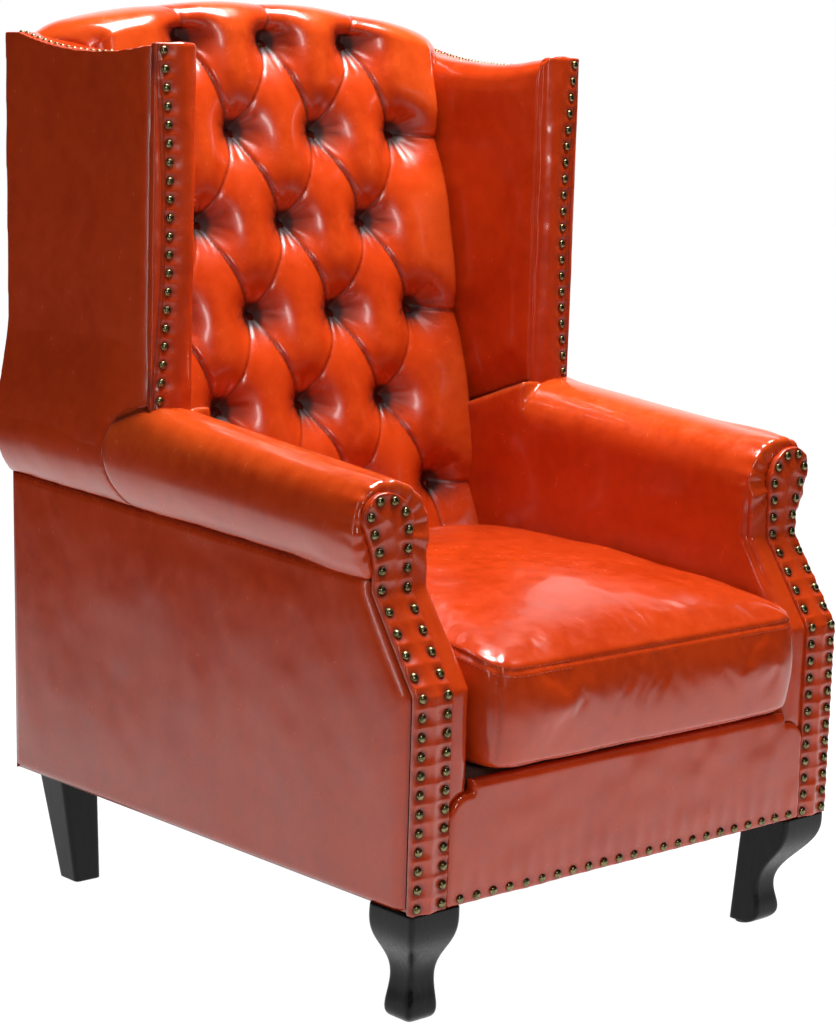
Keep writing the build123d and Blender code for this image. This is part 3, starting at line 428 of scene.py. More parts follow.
def on_back(v, height):
    """Depth and height of a place up the buttons' leaning plane, some way proud of it."""
    y = ROW_Y + v * math.sin(LEAN) - height * math.cos(LEAN)
    return y, ROW_Z + v * math.cos(LEAN) + height * math.sin(LEAN)


def lattice_noise(x, y, pitch, seed):
    """Smooth noise from -1 to 1 over two coordinates, always the same for one seed."""
    cells = 64
    rng = np.random.default_rng(seed)
    table = rng.uniform(-1, 1, (cells, cells))
    gx, gy = np.asarray(x, float) / pitch, np.asarray(y, float) / pitch
    ix, iy = np.floor(gx).astype(int), np.floor(gy).astype(int)
    fx, fy = ease(0, 1, gx - ix), ease(0, 1, gy - iy)

    def at(dx, dy):
        return table[(ix + dx) % cells, (iy + dy) % cells]

    low = at(0, 0) * (1 - fx) + at(1, 0) * fx
    high = at(0, 1) * (1 - fx) + at(1, 1) * fx
    return low * (1 - fy) + high * fy


def waves(x, y, layers):
    """Smooth unevenness in layers, each given as its depth, pitch and seed."""
    return sum(depth * lattice_noise(x, y, pitch, seed) for depth, pitch, seed in layers)


# Meshes


def linked(name, data):
    """A new object of some data, in the scene."""
    made = bpy.data.objects.new(name, data)
    bpy.context.scene.collection.objects.link(made)
    return made


def mended(mesh, merge=0.0, outward=False):
    """Merges a mesh's points that lie within a length in metres, and turns its faces outwards."""
    shape = bmesh.new()
    shape.from_mesh(mesh)
    if merge:
        bmesh.ops.remove_doubles(shape, verts=shape.verts, dist=merge)
    if outward:
        bmesh.ops.recalc_face_normals(shape, faces=shape.faces)
    shape.to_mesh(mesh)
    shape.free()


def keep_marks(mesh, marks):
    """Keeps a number for each point of a mesh under each mark's name."""
    for mark, values in marks.items():
        attribute = mesh.attributes.new(mark, "FLOAT", "POINT")
        attribute.data.foreach_set("value", np.asarray(values, np.float32).ravel())


def add_object(name, points, faces, marks=None, sharp=50):
    """A mesh object from points in millimetres, with its normals outwards and shaded smooth."""
    mesh = bpy.data.meshes.new(name)
    mesh.from_pydata((np.asarray(points, float) * MM).tolist(), [], faces)
    keep_marks(mesh, marks or {})
    mended(mesh, OWN_WELD, outward=True)
    mesh.shade_smooth()
    mesh.set_sharp_from_angle(angle=math.radians(sharp))
    return linked(name, mesh)


def grid_faces(rows, columns, wrap=False):
    """The four-cornered faces of a grid of points."""
    faces = []
    for i in range(rows - 1):
        for j in range(columns if wrap else columns - 1):
            near, far = i * columns, (i + 1) * columns
            k = (j + 1) % columns
            faces.append((near + j, near + k, far + k, far + j))
    return faces


def panel(name, front, back, marks, sharp):
    """A closed panel: a fine front grid, and a back with one point at each end of every row."""
    rows, columns = front.shape[:2]
    points = np.concatenate([front.reshape(-1, 3), back.reshape(-1, 3)])
    first_back = rows * columns
    faces = grid_faces(rows, columns)
    for i in range(rows - 1):
        left, left_next = i * columns, (i + 1) * columns
        back_left, back_next = first_back + 2 * i, first_back + 2 * (i + 1)
        faces.append((left, left_next, back_next, back_left))
        faces.append((left + columns - 1, back_left + 1, back_next + 1, left_next + columns - 1))
        faces.append((back_left, back_next, back_next + 1, back_left + 1))
    faces.append([*range(columns), first_back + 1, first_back])
    last, last_back = (rows - 1) * columns, first_back + 2 * rows - 1
    faces.append([*range(last, last + columns), last_back, last_back - 1])
    marks = {
        mark: np.concatenate([np.asarray(values, float).ravel(), np.zeros(2 * rows)])
        for mark, values in marks.items()
    }
    return add_object(name, points, faces, marks, sharp)


def tube(name, sections):
    """A closed solid through rings of points, with a flat face at each end."""
    rows, columns = sections.shape[:2]
    faces = grid_faces(rows, columns, wrap=True)
    faces.append(list(range(columns)))
    faces.append(list(range((rows - 1) * columns, rows * columns)))
    return add_object(name, sections.reshape(-1, 3), faces)


def read_points(mesh):
    """The points of a mesh, in millimetres, and its normals."""
    points = np.empty(3 * len(mesh.vertices))
    normals = np.empty(3 * len(mesh.vertices))
    mesh.vertices.foreach_get("co", points)
    mesh.vertex_normals.foreach_get("vector", normals)
    return points.reshape(-1, 3) / MM, normals.reshape(-1, 3)


def move_points(mesh, points):
    """Moves a mesh's points to new places in millimetres."""
    mesh.vertices.foreach_set("co", (points * MM).astype(np.float32).ravel())
    mesh.update()


def evaluated_copy(source, name):
    """A plain mesh object with a piece's modifiers applied; the piece itself is removed."""
    graph = bpy.context.evaluated_depsgraph_get()
    mesh = bpy.data.meshes.new_from_object(source.evaluated_get(graph))
    bpy.data.objects.remove(source)
    mesh.name = name
    return linked(name, mesh)


def remeshed(draft, name, voxel, rounds):
    """A draft in one even skin of small faces, its edges rounded by rounds of smoothing."""
    skin = draft.modifiers.new("skin", "REMESH")
    skin.mode = "VOXEL"
    skin.voxel_size = voxel * MM
    soften = draft.modifiers.new("soften", "SMOOTH")
    soften.factor = 0.5
    soften.iterations = rounds
    made = evaluated_copy(draft, name)
    made.data.shade_smooth()
    return made


def soft_copy(name, node):
    """A copy of a CAD solid in one even skin of small faces, with its edges rounded."""
    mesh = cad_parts[node].data.copy()
    mesh.materials.clear()
    mended(mesh, CAD_WELD)
    return remeshed(linked("draft", mesh), name, *SKINS[node.removesuffix("_right")])


def model(piece, shaper, *details):
    """Moves a piece's points by shaper, which gives new points and the marks to keep on them."""
    moved, marks = shaper(*read_points(piece.data), *details)
    keep_marks(piece.data, marks)
    move_points(piece.data, moved)
    return piece


def flip(piece, name):
    """The left-hand twin of a right-hand piece."""
    mesh = piece.data.copy()
    mesh.name = name
    mesh.transform(Matrix.Diagonal((-1, 1, 1, 1)))
    mended(mesh, outward=True)
    return linked(name, mesh)


def nearest(points, places):
    """Distance from each point to the nearest of some places."""
    best = np.full(len(points), np.inf)
    for place in places:
        best = np.minimum(best, np.linalg.norm(points - place, axis=1))
    return best


def pins(node):
    """The points of each separate nail of a CAD node."""
    shape = bmesh.new()
    shape.from_mesh(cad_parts[node].data)
    bmesh.ops.remove_doubles(shape, verts=shape.verts, dist=CAD_WELD)
    seen, found = set(), []
    for start in shape.verts:
        if start in seen:
            continue
        island, queue = [], [start]
        seen.add(start)
        while queue:
            vertex = queue.pop()
            island.append(vertex)
            for edge in vertex.link_edges:
                other = edge.other_vert(vertex)
                if other not in seen:
                    seen.add(other)
                    queue.append(other)
        found.append(np.array([vertex.co for vertex in island]) / MM)
    shape.free()
    return found


def nail_seats(node):
    """The middle of each nail's head, on the leather, and the way it faces."""
    seats, ways = [], []
    for places in pins(node):
        middle = places.mean(axis=0)
        far = np.linalg.norm(places - middle, axis=1)
        tip = places[far > far.max() - NAIL_TIP].mean(axis=0)
        way = (middle - tip) / np.linalg.norm(middle - tip)
        top = (places @ way).max()
        seats.append(middle + way * (top - NAIL_HEIGHT - middle @ way))
        ways.append(way)
    return np.array(seats), np.array(ways)


def button_places(row):
    """Widths of the buttons in a row."""
    count = BUTTONS_IN_ROW[row % 2]
    return [BUTTON_PITCH * (i - (count - 1) / 2) for i in range(count)]


def button_seats():
    """The middle of each button of the back, on the buttons' plane."""
    rows = range(ROWS)
    return np.array([(x, *on_back(row * ROW_PITCH, 0)) for row in rows for x in button_places(row)])


# Tufted back


def fold_lines():
    """The folds of the back, each from one place to another, across and up the leaning plane."""
    top = (ROWS - 1) * ROW_PITCH
    lines = []
    for row in range(ROWS - 1):
        for x in button_places(row):
            for other in button_places(row + 1):
                if abs(x - other) < BUTTON_PITCH:
                    lines.append(((x, row * ROW_PITCH), (other, (row + 1) * ROW_PITCH)))
    for row in range(0, ROWS, 2):
        v = row * ROW_PITCH
        for side in (-1, 1):
            end = side * button_places(row)[-1]
            lines.append(((end, v), (end + side * FOLD_SIDE_RUN, v - FOLD_SIDE_DROP)))
    for x in button_places(ROWS - 1):
        lines.append(((x, top), (x * FOLD_SPREAD, top + FOLD_END_RUN)))
    for x in button_places(0):
        lines.append(((x, 0), (x, -FOLD_END_RUN)))
    return lines


def tufts(x, v):
    """How far the leather stands proud of its buttons, its share that is puff, and its painted shade:
    dark in the folds, in the pockets and beside each button.
    """
    wx, wv = x + waves(x, v, ACROSS_WANDER), v + waves(x, v, UP_WANDER)
    pillow, crease, seat = (np.ones_like(x) for _ in range(3))
    lip, pocket, pleats, shade = (np.zeros_like(x) for _ in range(4))
    for (ax, av), (bx, bv) in fold_lines():
        length = math.hypot(bx - ax, bv - av)
        tx, tv = (bx - ax) / length, (bv - av) / length
        along = np.clip((wx - ax) * tx + (wv - av) * tv, 0, length)
        dx, dv = wx - ax - along * tx, wv - av - along * tv
        distance = np.hypot(dx, dv)
        side = math.copysign(1, tx) * (tx * dv - tv * dx) / np.maximum(distance, 1e-6)
        if abs(tx) < UPRIGHT_FOLD:
            side = 0 * side
        pillow *= 1 - np.exp(-((distance / (PILLOW_REACH - PILLOW_LEAN * side)) ** 1.5))
        crease *= 1 - np.exp(-((distance / CREASE_REACH) ** 1.4))
        start = 1 - np.exp(-distance / LIP_START)
        lip += LIP_RISE * (LIP_LEAN + side) * np.exp(-distance / LIP_REACH) * start
    for row in range(ROWS):
        for i, place in enumerate(button_places(row)):
            dx, dv = x - place, v - row * ROW_PITCH
            distance = np.hypot(dx, dv)
            seat *= 1 - bell(distance, SEAT_REACH)
            pocket += bell(distance, POCKET_REACH)
            turn = np.arctan2(dv, dx)
            wave = np.cos(PLEATS[0] * turn + 1.7 * row + 2.3 * i)
            wave = wave + 0.6 * np.cos(PLEATS[1] * turn - i)
            pleats += wave * bell(distance - PLEAT_PLACE, PLEAT_REACH)
            off = np.hypot(dx - SHADE_SHIFT[0], dv - SHADE_SHIFT[1])
            shade = np.maximum(shade, bell(off, SHADE_REACH))
    height = FOLD_RISE * seat + PILLOW_RISE * pillow + CREASE_DEPTH * (crease - 1)
    height += lip * np.clip(1.6 * seat - 0.2, 0, 1) - POCKET_DEPTH * pocket + PLEAT_DEPTH * pleats
    height += waves(x, v, PUFF_WAVES) * seat
    # Painted shade: the deeper the leather lies, the darker; darker along the folds, most of all near
    # the buttons, and on the puff's flank beside each button
    low = POCKET_DARK * np.exp(-height.clip(0, None) / POCKET_DARK_DEPTH)
    dark = np.maximum((1 - crease) * (FOLD_DARK + BUTTON_DARK * (1 - seat)), low)
    return height, pillow, np.clip(np.maximum(dark, SHADE_SHARE * shade), 0, 1)


def crest_at(x):
    """Height of the top of the crest across the chair."""
    end = (CREST_END_X, CREST_Z - CREST_DROP)
    arch = arc_through((-end[0], end[1]), (0, CREST_Z), end)
    turned = np.clip((np.abs(x) - CREST_TURN_X) / (CREST_HALF - CREST_TURN_X), 0, 1)
    return EAR_Z + (arch(x) - EAR_Z) * (1 - turned**2.2) ** 0.6


def pulled_curve(path, share):
    """Place and direction at a share of the curve that four points pull."""
    left = 1 - share
    weights = (left**3, 3 * share * left**2, 3 * share**2 * left, share**3)
    slopes = (-(left**2), left * (1 - 3 * share), share * (2 - 3 * share), share**2)
    return (
        [sum(w * np.asarray(point[axis]) for w, point in zip(part, path)) for axis in (0, 1)]
        for part in (weights, slopes)
    )


def crest_roll(columns, over, start_y, start_z, droop, tuck, bump):
    """The rows of the crest: up and forward from the brow, over the top and down to the nape."""
    rear = rear_at(NAPE_Z) + NAPE_PAST_REAR
    end = np.abs(columns) ** CREST_END_BEND
    rolled = []
    for i, t in enumerate(over):
        wide = columns * (PAD_HALF + (CREST_HALF - PAD_HALF) * ease(*CREST_WIDENS, t))
        fall = 1 - ease(*CREST_FALLS, t)
        foot = start_z - droop * fall
        low = foot + CREST_RISE
        top = low + (crest_at(wide) - low) * np.sqrt(1 - end * fall)
        if t < 0.5:
            up, deep = top - foot, CREST_Y - start_y
            out, over_it = BROW_PULL[0] * up, BROW_PULL[1] * deep
            path = [(0, 0), (out * math.tan(LEAN), out), (over_it, up), (deep, up)]
            base_y, base_z, share = start_y, foot, 2 * t
        else:
            down = top - np.clip(NAPE_Z - (CREST_Z - top), EAR_Z - 6, top - 3)
            deep = rear - CREST_Y
            out, fallen = NAPE_PULL[0] * deep, NAPE_PULL[1] * down
            path = [(0, 0), (out, 0 * down), (deep, -fallen), (deep, -down)]
            base_y, base_z, share = CREST_Y, top, 2 * t - 1
        (y_run, z_run), (y_way, z_way) = pulled_curve(path, share)
        long = np.hypot(y_way, z_way) + 1e-9
        lift = bump[i] - PUFF_TOP - tuck * (1 - ease(*TUCK_FADES, t))
        lift = lift * (1 - 0.8 * ease(*PUFFS_FADE, t)) * (1 - ease(*LIFT_FADES, t))
        drag = -OVERHANG * lift
        y = base_y + y_run + (drag * y_way - lift * z_way) / long
        z = base_z + z_run + (lift * y_way + drag * z_way) / long
        rolled.append(np.stack([wide, y, z], axis=-1))
    return np.array(rolled)


def make_back(name):
    """The inside back: puffs between folds that run from button to button, and a rolled crest."""
    brow_v = (BROW_Z - ROW_Z) / math.cos(LEAN)
    foot_v = (BACK_FOOT_Z - ROW_Z) / math.cos(LEAN)
    rise = np.linspace(foot_v, brow_v, PAD_ROWS)
    over = np.linspace(0, 1, CREST_ROWS)[1:]
    even = np.linspace(-1, 1, PAD_COLUMNS)
    crowded = np.sin(even * COLUMN_TURN) / math.sin(COLUMN_TURN)
    columns = COLUMN_CROWDING * crowded + (1 - COLUMN_CROWDING) * even
    x = PAD_HALF * columns + 0 * rise[:, None]
    v = rise[:, None] + 0 * x
    height, puff, dark = tufts(x, v)
    from_edge = PAD_HALF * (1 - np.abs(columns))
    tuck = EDGE_FALL * np.clip(1 - from_edge / EDGE_WIDTH, 0, 1) ** EDGE_BEND
    height = height - tuck
    y, z = on_back(v - OVERHANG * (height - FOLD_RISE), height)
    droop = DROOP * np.abs(columns) ** DROOP_BEND
    z = z - droop * ease(brow_v - DROOP_RUN, brow_v, v)
    front = np.stack([x, np.maximum(y, CUSHION_REAR_Y + 1), z], axis=-1)

    start_y, start_z = on_back(brow_v - OVERHANG * (PUFF_TOP - FOLD_RISE), PUFF_TOP)
    far_v = brow_v + CREST_RUN * over[:, None] + 0 * columns
    bump, far_puff, far_dark = tufts(PAD_HALF * columns + 0 * far_v, far_v)
    front = np.concatenate([front, crest_roll(columns, over, start_y, start_z, droop, tuck, bump)])
    puff = np.concatenate([puff, far_puff])
    # The painted shade of the folds fades out over the crest
    dark = np.concatenate([dark, far_dark * np.clip(1.6 - 1.6 * over, 0, 1)[:, None]])

    back = []
    for i, v_row in enumerate(rise):
        y_back = max(ROW_Y + v_row * math.sin(LEAN) + PAD_BACK, CUSHION_REAR_Y + 12)
        z_back = min(front[i, :, 2].mean(), EAR_Z - 12) + i * 0.001
        back.append([(side * PAD_HALF * PAD_BACK_SHARE, y_back, z_back) for side in (-1, 1)])
    _, last_y, last_z = back[-1][0]
    for i, t in enumerate(over):
        wide = front[len(rise) + i, -1, 0] * PAD_BACK_SHARE
        back.append([(side * wide, last_y + CREST_BACK * t, last_z) for side in (-1, 1)])
    # Marks: painted shade of the folds and pockets, and the puffs, which turn lighter, partly pull-up
    # and partly painted highlight
    return panel(name, front, np.array(back), {"fold_shade": dark, "swell": puff}, 180)


# Arms and wings: each shaper moves the points of the right-hand piece


def eased_edge(first, second, radius):
    """How far points move in from an edge's two faces to round it, by their depths behind each."""
    a, b = radius - first, radius - second
    far = np.hypot(a, b)
    share = np.where((a > 0) & (b > 0) & (far > radius), 1 - radius / np.maximum(far, 1e-6), 0)
    return a * share, b * share


def drawn_in(distance, rise, near, far, dip, width):
    """Leather that rises between two distances from a nail, and dips over a width at the nail."""
    return rise * ease(near, far, distance) - dip * bell(distance, width)


def shape_inside_arm(points, normals):
    """Gathers behind the facing, long soft creases along the roll, and a firm inner side."""
    x, y, z = points.T
    around = ROLL_RADIUS * np.arctan2(z - ROLL_Z, x - ROLL_X)
    behind = y - front_at(z)
    on_roll = ease(*ROLL_FOOT_Z, z)
    pleat = np.cos(2 * math.pi * (around + waves(around, y, GATHER_WANDER)) / GATHER_PITCH)
    lift = GATHER_DEPTH * pleat * np.exp(-np.clip(behind, 0, None) / GATHER_REACH) * on_roll
    lift -= EDGE_LINE_DEPTH * bell(behind - 1, EDGE_LINE_WIDTH) * on_roll
    lift += waves(y, z + x, ROLL_WAVES) + waves(y, z * 1.7 + x, ROLL_CREASES)
    hollow = np.exp(-np.clip(behind - HOLLOW_START, 0, None) / HOLLOW_REACH)
    hollow = hollow * facing(normals, 0, -1)
    lift -= HOLLOW_DEPTH * hollow * ease(*HOLLOW_Z, z)
    hip = bell(behind - HIP_Y, HIP_LENGTH) * ease(*HIP_Z, z) * ease(ROLL_X, ROLL_X + 15, x)
    lobe = bell(y - WING_Y - LOBE_Y, LOBE_LENGTH) * ease(ROLL_X, ROLL_X + 18, x)
    lobe = lobe * ease(*ROLL_END_Z, z)
    lift += HIP_SWELL * (hip + lobe)
    seam = np.abs(z - wing_seam_at(np.clip(y, WING_Y, None)))
    near_seam = bell(seam, WING_SEAM_WIDTH) * ease(WING_Y - 5, WING_Y + 10, y)
    lift -= WING_SEAM_DEPTH * near_seam
    # Painted shade in the line at the roll's front edge and along the seam with the wing
    dark = np.clip(bell(behind, EDGE_LINE_WIDTH) * on_roll * 0.5 + near_seam * 0.6, 0, 1)
    moved = points + normals * (lift + 0.5)[:, None]
    below = ease(*STRIP_TOP_Z, z)
    move_x, move_y = eased_edge(x - ARM_INNER_X, behind - STRIP_BACK, STRIP_ROUND)
    moved[:, 0] += move_x * below
    moved[:, 1] += move_y * below
    # The roll's top is lighter: wear and painted highlight
    return moved, {"fold_shade": dark, "swell": ease(*ROLL_WORN_LIT_Z, z)}


def shape_facing(points, normals, seats):
    """The arm's facing: a soft ridge between its nails and a pucker at each."""
    x, _, z = points.T
    distance = nearest(points, seats)
    lift = drawn_in(distance, *FACING_PUCKER)
    lift += waves(x * 1.3, z, FACING_WAVES) * ease(6, 20, distance)
    lift += waves(x * 2, z, FACING_CREASES)
    moved = points + normals * (lift * facing(normals, 1, -1) + 0.3)[:, None]
    # Painted shade in the pucker at each nail; the ridges between are lighter, partly pull-up and
    # partly painted highlight
    return moved, {"fold_shade": 0.75 * bell(distance, 9.5), "swell": 0.6 * ease(4, 24, distance)}


def shape_wing_band(points, normals, seats):
    """The wing's front band: rounded, with a pucker at each nail and two seams beside them."""
    x, y, z = points.T
    distance = nearest(points, seats)
    beside = x - np.interp(z, *seats[np.argsort(seats[:, 2])][:, [2, 0]].T)
    seams = sum(bell(beside - place, 2.2) for place in BAND_SEAMS)
    lift = drawn_in(distance, *BAND_PUCKER) + waves(x, z, BAND_WAVES)
    lift += BAND_SWELL * bell(beside + BAND_SWELL_X, 11) - BAND_SEAM_DEPTH * seams
    lift -= BAND_SIDE_FALL * ease(BODY_X - 14, BODY_X, x) ** 2
    # Painted shade at each nail and in the seams
    dark = np.maximum(0.65 * bell(distance, 9), 0.5 * seams)
    moved = points + normals * (lift * facing(normals, 1, -1) + 0.3)[:, None]
    move_x, move_z = eased_edge(x - WING_INNER_X, WING_FRONT_Z - z, BAND_TOP_ROUND)
    moved += np.stack([move_x, 0 * x, -move_z], axis=-1)
    move_x, move_y = eased_edge(x - WING_INNER_X, y - WING_Y, BAND_FRONT_ROUND)
    moved += np.stack([move_x, move_y, 0 * x], axis=-1)
    # Lighter between the nails: partly pull-up and partly painted highlight
    return moved, {"fold_shade": dark, "swell": 0.4 * ease(3, 18, distance)}


def shape_inside_wing(points, normals):
    """Soft padding that is drawn in at its edges."""
    x, y, z = points.T
    seam, from_top = z - wing_seam_at(y), wing_top_at(y) - z
    edges = ease(0, 60, seam) * ease(-4, 50, y - WING_Y) * ease(0, 40, from_top)
    lift = WING_PUFF * facing(normals, 0, -1) * edges + waves(y, z, WING_WAVES)
    ripple = np.cos(y / TOP_RIPPLE_LENGTH + waves(y, z, TOP_WANDER))
    lift += TOP_RIPPLE_DEPTH * ripple * facing(normals, 2, 1) * ease(BODY_X - 12.5, BODY_X - 0.5, x)
    moved = points + normals * (lift + 0.4)[:, None]
    move_x, move_z = eased_edge(x - WING_INNER_X, from_top, WING_TOP_ROUND)
    moved += np.stack([move_x, 0 * x, -move_z], axis=-1)
    # Painted shade along the seam; the top is lighter, wear and painted highlight
    return moved, {"fold_shade": 0.7 * bell(seam, 6), "swell": 0.6 * ease(*WING_WORN_LIT_Z, z)}


def shape_outside_wing(points, normals):
    """A drawn panel with a swelling over the end of the arm's roll."""
    x, y, z = points.T
    outward = facing(normals, 0, 1)
    behind = y - WING_Y
    middle = ease(0, 70, behind) * ease(*OUTSIDE_LOW_Z, z) * ease(*OUTSIDE_HIGH_Z, z)
    lift = outward * (OUTSIDE_PUFF * middle + waves(y, z, OUTSIDE_WAVES))
    moved = points + normals * (lift + 0.3)[:, None]
    belly = BODY_X + ROLL_OUT * ease(BELLY_HIGH_Z, BELLY_LOW_Z, z) ** 1.25 * ease(8, 90, behind)
    over_roll = (outward > 0.25) & (z > BELLY_LOW_Z)
    moved[:, 0] = np.where(over_roll, np.maximum(moved[:, 0], belly), moved[:, 0])
    near_side = ease(BODY_X - 14.5, BODY_X - 0.5, x)
    moved[:, 0] -= OUTSIDE_ROUND * ease(34, 6, behind) ** 2 * ease(*OUTSIDE_ROUND_Z, z) * near_side
    corner = ease(*CORNER_Y, y) * ease(*CORNER_HIGH_Z, z) * ease(*CORNER_LOW_Z, z)
    moved -= np.array(CORNER_PULL) * corner[:, None]
    # A lighter band where the panel is drawn over the roll's end: painted highlight
    return moved, {"fold_shade": 0 * z, "swell": 0.4 * bell(z - 620, 60)}


def shape_apron(points, normals, seats):
    """The apron: a pucker at each nail and a soft front."""
    x, _, z = points.T
    distance = nearest(points, seats)
    lift = drawn_in(distance, *APRON_PUCKER) + waves(x, z, APRON_WAVES)
    fade = np.exp(-np.clip(z - APRON_GATHER_Z, 0, None) / APRON_GATHER_REACH)
    lift += APRON_GATHER_DEPTH * np.cos(2 * math.pi * x / APRON_GATHER_PITCH) * fade
    moved = points + normals * (lift * facing(normals, 1, -1) + 0.2)[:, None]
    # Painted shade in the pucker at each nail
    return moved, {"fold_shade": 0.5 * bell(distance, 9), "swell": 0 * z}


# Loose cushion


def seam_at(y):
    """Height of the cushion's top seam from front to rear."""
    return np.polyval(np.polyfit(*np.array(SEAM_PLACES, float).T, 4), y)


def cushion_ring(share, swell=0.0, count=240):
    """A ring of the cushion's outline, its corners rounded, at a share of its full size."""
    turn = np.linspace(0, 2 * math.pi, count, endpoint=False)
    across, along = (np.sign(f(turn)) * np.abs(f(turn)) ** CORNER_BEND for f in (np.cos, np.sin))
    reach = (CUSHION_REAR_Y - CUSHION_FRONT_Y) / 2 - 3
    x = across * (share * CUSHION_HALF + swell)
    return x, CUSHION_MIDDLE_Y + along * (share * reach + swell), along, across


def cushion_draft():
    """The cushion before it is blown up: a crowned top, swelling sides and a flat underside."""
    foot = CUSHION_LOW_Z + UNDERSIDE_EDGE
    rings = []
    shares = np.sin(np.linspace(FIRST_RING, 1, TOP_RINGS) * math.pi / 2)
    for share in shares:
        x, y, along, across = cushion_ring(share)
        crown = CROWN * (1 - np.abs(across * share) ** 2.4) * (1 - np.abs(along * share) ** 4)
        rings.append((x, y, seam_at(y) + crown + CROWN_EDGE * math.sqrt(1 - share**14)))
    for height in np.linspace(1, 0, SIDE_RINGS)[1:-1]:
        x, y, _, _ = cushion_ring(1, SWELL * (1 - (2 * height - 1) ** 2))
        rings.append((x, y, foot + (seam_at(y) - foot) * height))
    for share in shares[::-1]:
        x, y, _, _ = cushion_ring(share)
        rings.append((x, y, 0 * x + foot - UNDERSIDE_EDGE * math.sqrt(1 - share**14)))
    return tube("draft", np.array([np.stack(ring, axis=-1) for ring in rings]))


def blown_up(piece, name):
    """Blows a padded piece up with a cloth simulation; a cap keeps each point near its start."""
    start, _ = read_points(piece.data)
    cloth = piece.modifiers.new("cloth", "CLOTH")
    for setting, value in CLOTH.items():
        setattr(cloth.settings, setting, value)
    cloth.settings.effector_weights.gravity = 0
    cloth.point_cache.frame_end = BLOW_FRAMES
    for step in range(1, BLOW_FRAMES + 1):
        bpy.context.scene.frame_set(step)
    made = evaluated_copy(piece, name)
    bpy.context.scene.frame_set(1)
    move = read_points(made.data)[0] - start
    far = np.linalg.norm(move, axis=1)
    move *= (np.minimum(far, BLOW_CAP) / np.maximum(far, 1e-9))[:, None]
    move_points(made.data, start + move)
    return made


def held(value, limit, soft=5.0):
    """A value that eases up to a limit and never passes it."""
    near = limit - soft
    return np.where(value > near, near + soft * np.tanh((value - near) / soft), value)


def shape_cushion(points, normals):
    """Seams round the top and bottom, at the corners, and creases that run from them."""
    x, y, z = points.T
    side = 1 - np.clip(np.abs(normals[:, 2]), 0, 1)
    depth = np.abs(y - CUSHION_MIDDLE_Y) / (CUSHION_MIDDLE_Y - CUSHION_FRONT_Y)
    rim = np.maximum(np.abs(x) / CUSHION_HALF, depth)
    on_rim = ease(*RIM, rim)
    over_seam, over_low_seam = z - seam_at(y), z - CUSHION_LOW_Z - LOW_SEAM_RISE
    seams = np.maximum(bell(over_seam, SEAM_WIDTH), bell(over_low_seam, SEAM_WIDTH)) * on_rim
    upright = bell(np.abs(x) - CUSHION_HALF + UPRIGHT_INSET, UPRIGHT_WIDTH) * side
    upright *= (y <= CUSHION_FRONT_Y + UPRIGHT_BAND) * ease(4, -6, over_seam)
    welt = bell(over_seam - WELT_OVER_SEAM, WELT_WIDTH)
    welt = (welt + bell(over_low_seam + WELT_UNDER_LOW_SEAM, WELT_WIDTH)) * on_rim
    lift = WELT_RISE * welt - SEAM_DEPTH * seams - UPRIGHT_DEPTH * upright
    in_x, in_y = CUSHION_HALF - np.abs(x), y - CUSHION_FRONT_Y
    pull = np.cos(PULLS * np.arctan2(in_y, in_x) + waves(x, y, CORNER_WANDER))
    near_corner = bell(np.hypot(in_x, in_y) - PULL_PLACE, PULL_REACH)
    lift += PULL_DEPTH * pull * near_corner * ease(*PULL_RISE, over_seam)
    run = np.where(in_x < SIDE_BAND, y, x)
    ripple = np.cos(run / RIPPLE_LENGTH + waves(x, y, SEAM_WANDER))
    lift += RIPPLE_DEPTH * ripple * bell(over_seam + RIPPLE_DROP, RIPPLE_DROP) * side
    lift += waves(x, y + z, CUSHION_HOLLOWS) + waves(x + z, y, CUSHION_WAVES)
    moved = points + normals * lift[:, None]
    moved[:, 0] = np.sign(moved[:, 0]) * held(np.abs(moved[:, 0]), CUSHION_SIDE_X)
    moved[:, 1] = held(moved[:, 1], CUSHION_REAR_Y - CUSHION_CLEARANCE)
    moved[:, 1] = -held(-moved[:, 1], CUSHION_LIMIT_Y)
    moved[:, 2] = -held(-moved[:, 2], UNDERSIDE_CLEARANCE - CUSHION_LOW_Z, UNDERSIDE_EASE)
    # Painted shade along the seams and the corner seams; the rim and crowned top are lighter, partly
    # pull-up and partly painted highlight
    dark = np.clip(0.34 * np.maximum(seams, 0.8 * upright), 0, 1)
    swell = 0.5 * ease(0.8, 1, rim) * ease(-4, 8, over_seam) + 0.25 * ease(0, 30, over_seam)
    return moved, {"fold_shade": dark, "swell": swell}


def cushion_seams(piece):
    """The lines of stitches beside the cushion's top seam, on the skin of the finished piece."""
    skin = BVHTree.FromObject(piece, bpy.context.evaluated_depsgraph_get())
    x, y, _, _ = cushion_ring(1, count=STITCH_COUNT)
    out = np.stack([np.roll(y, -1) - np.roll(y, 1), np.roll(x, 1) - np.roll(x, -1)], axis=-1)
    out /= np.linalg.norm(out, axis=1)[:, None]
    around = np.roll(np.arange(STITCH_COUNT), -STITCH_COUNT // 4)
    lines = []
    for above, slope in STITCH_LINES:
        line = []
        for i in around[y[around] < CUSHION_REAR_Y - STITCH_END]:
            way = Vector((-out[i, 0], -out[i, 1], -slope)).normalized()
            target = Vector((x[i], y[i], seam_at(y[i]) + above)) * MM
            start = target - way * STITCH_SEARCH * MM
            place, _, _, _ = skin.ray_cast(start, way, 2 * STITCH_SEARCH * MM)
            if place:
                line.append(np.array(place) / MM)
        lines.append(line)
    return lines


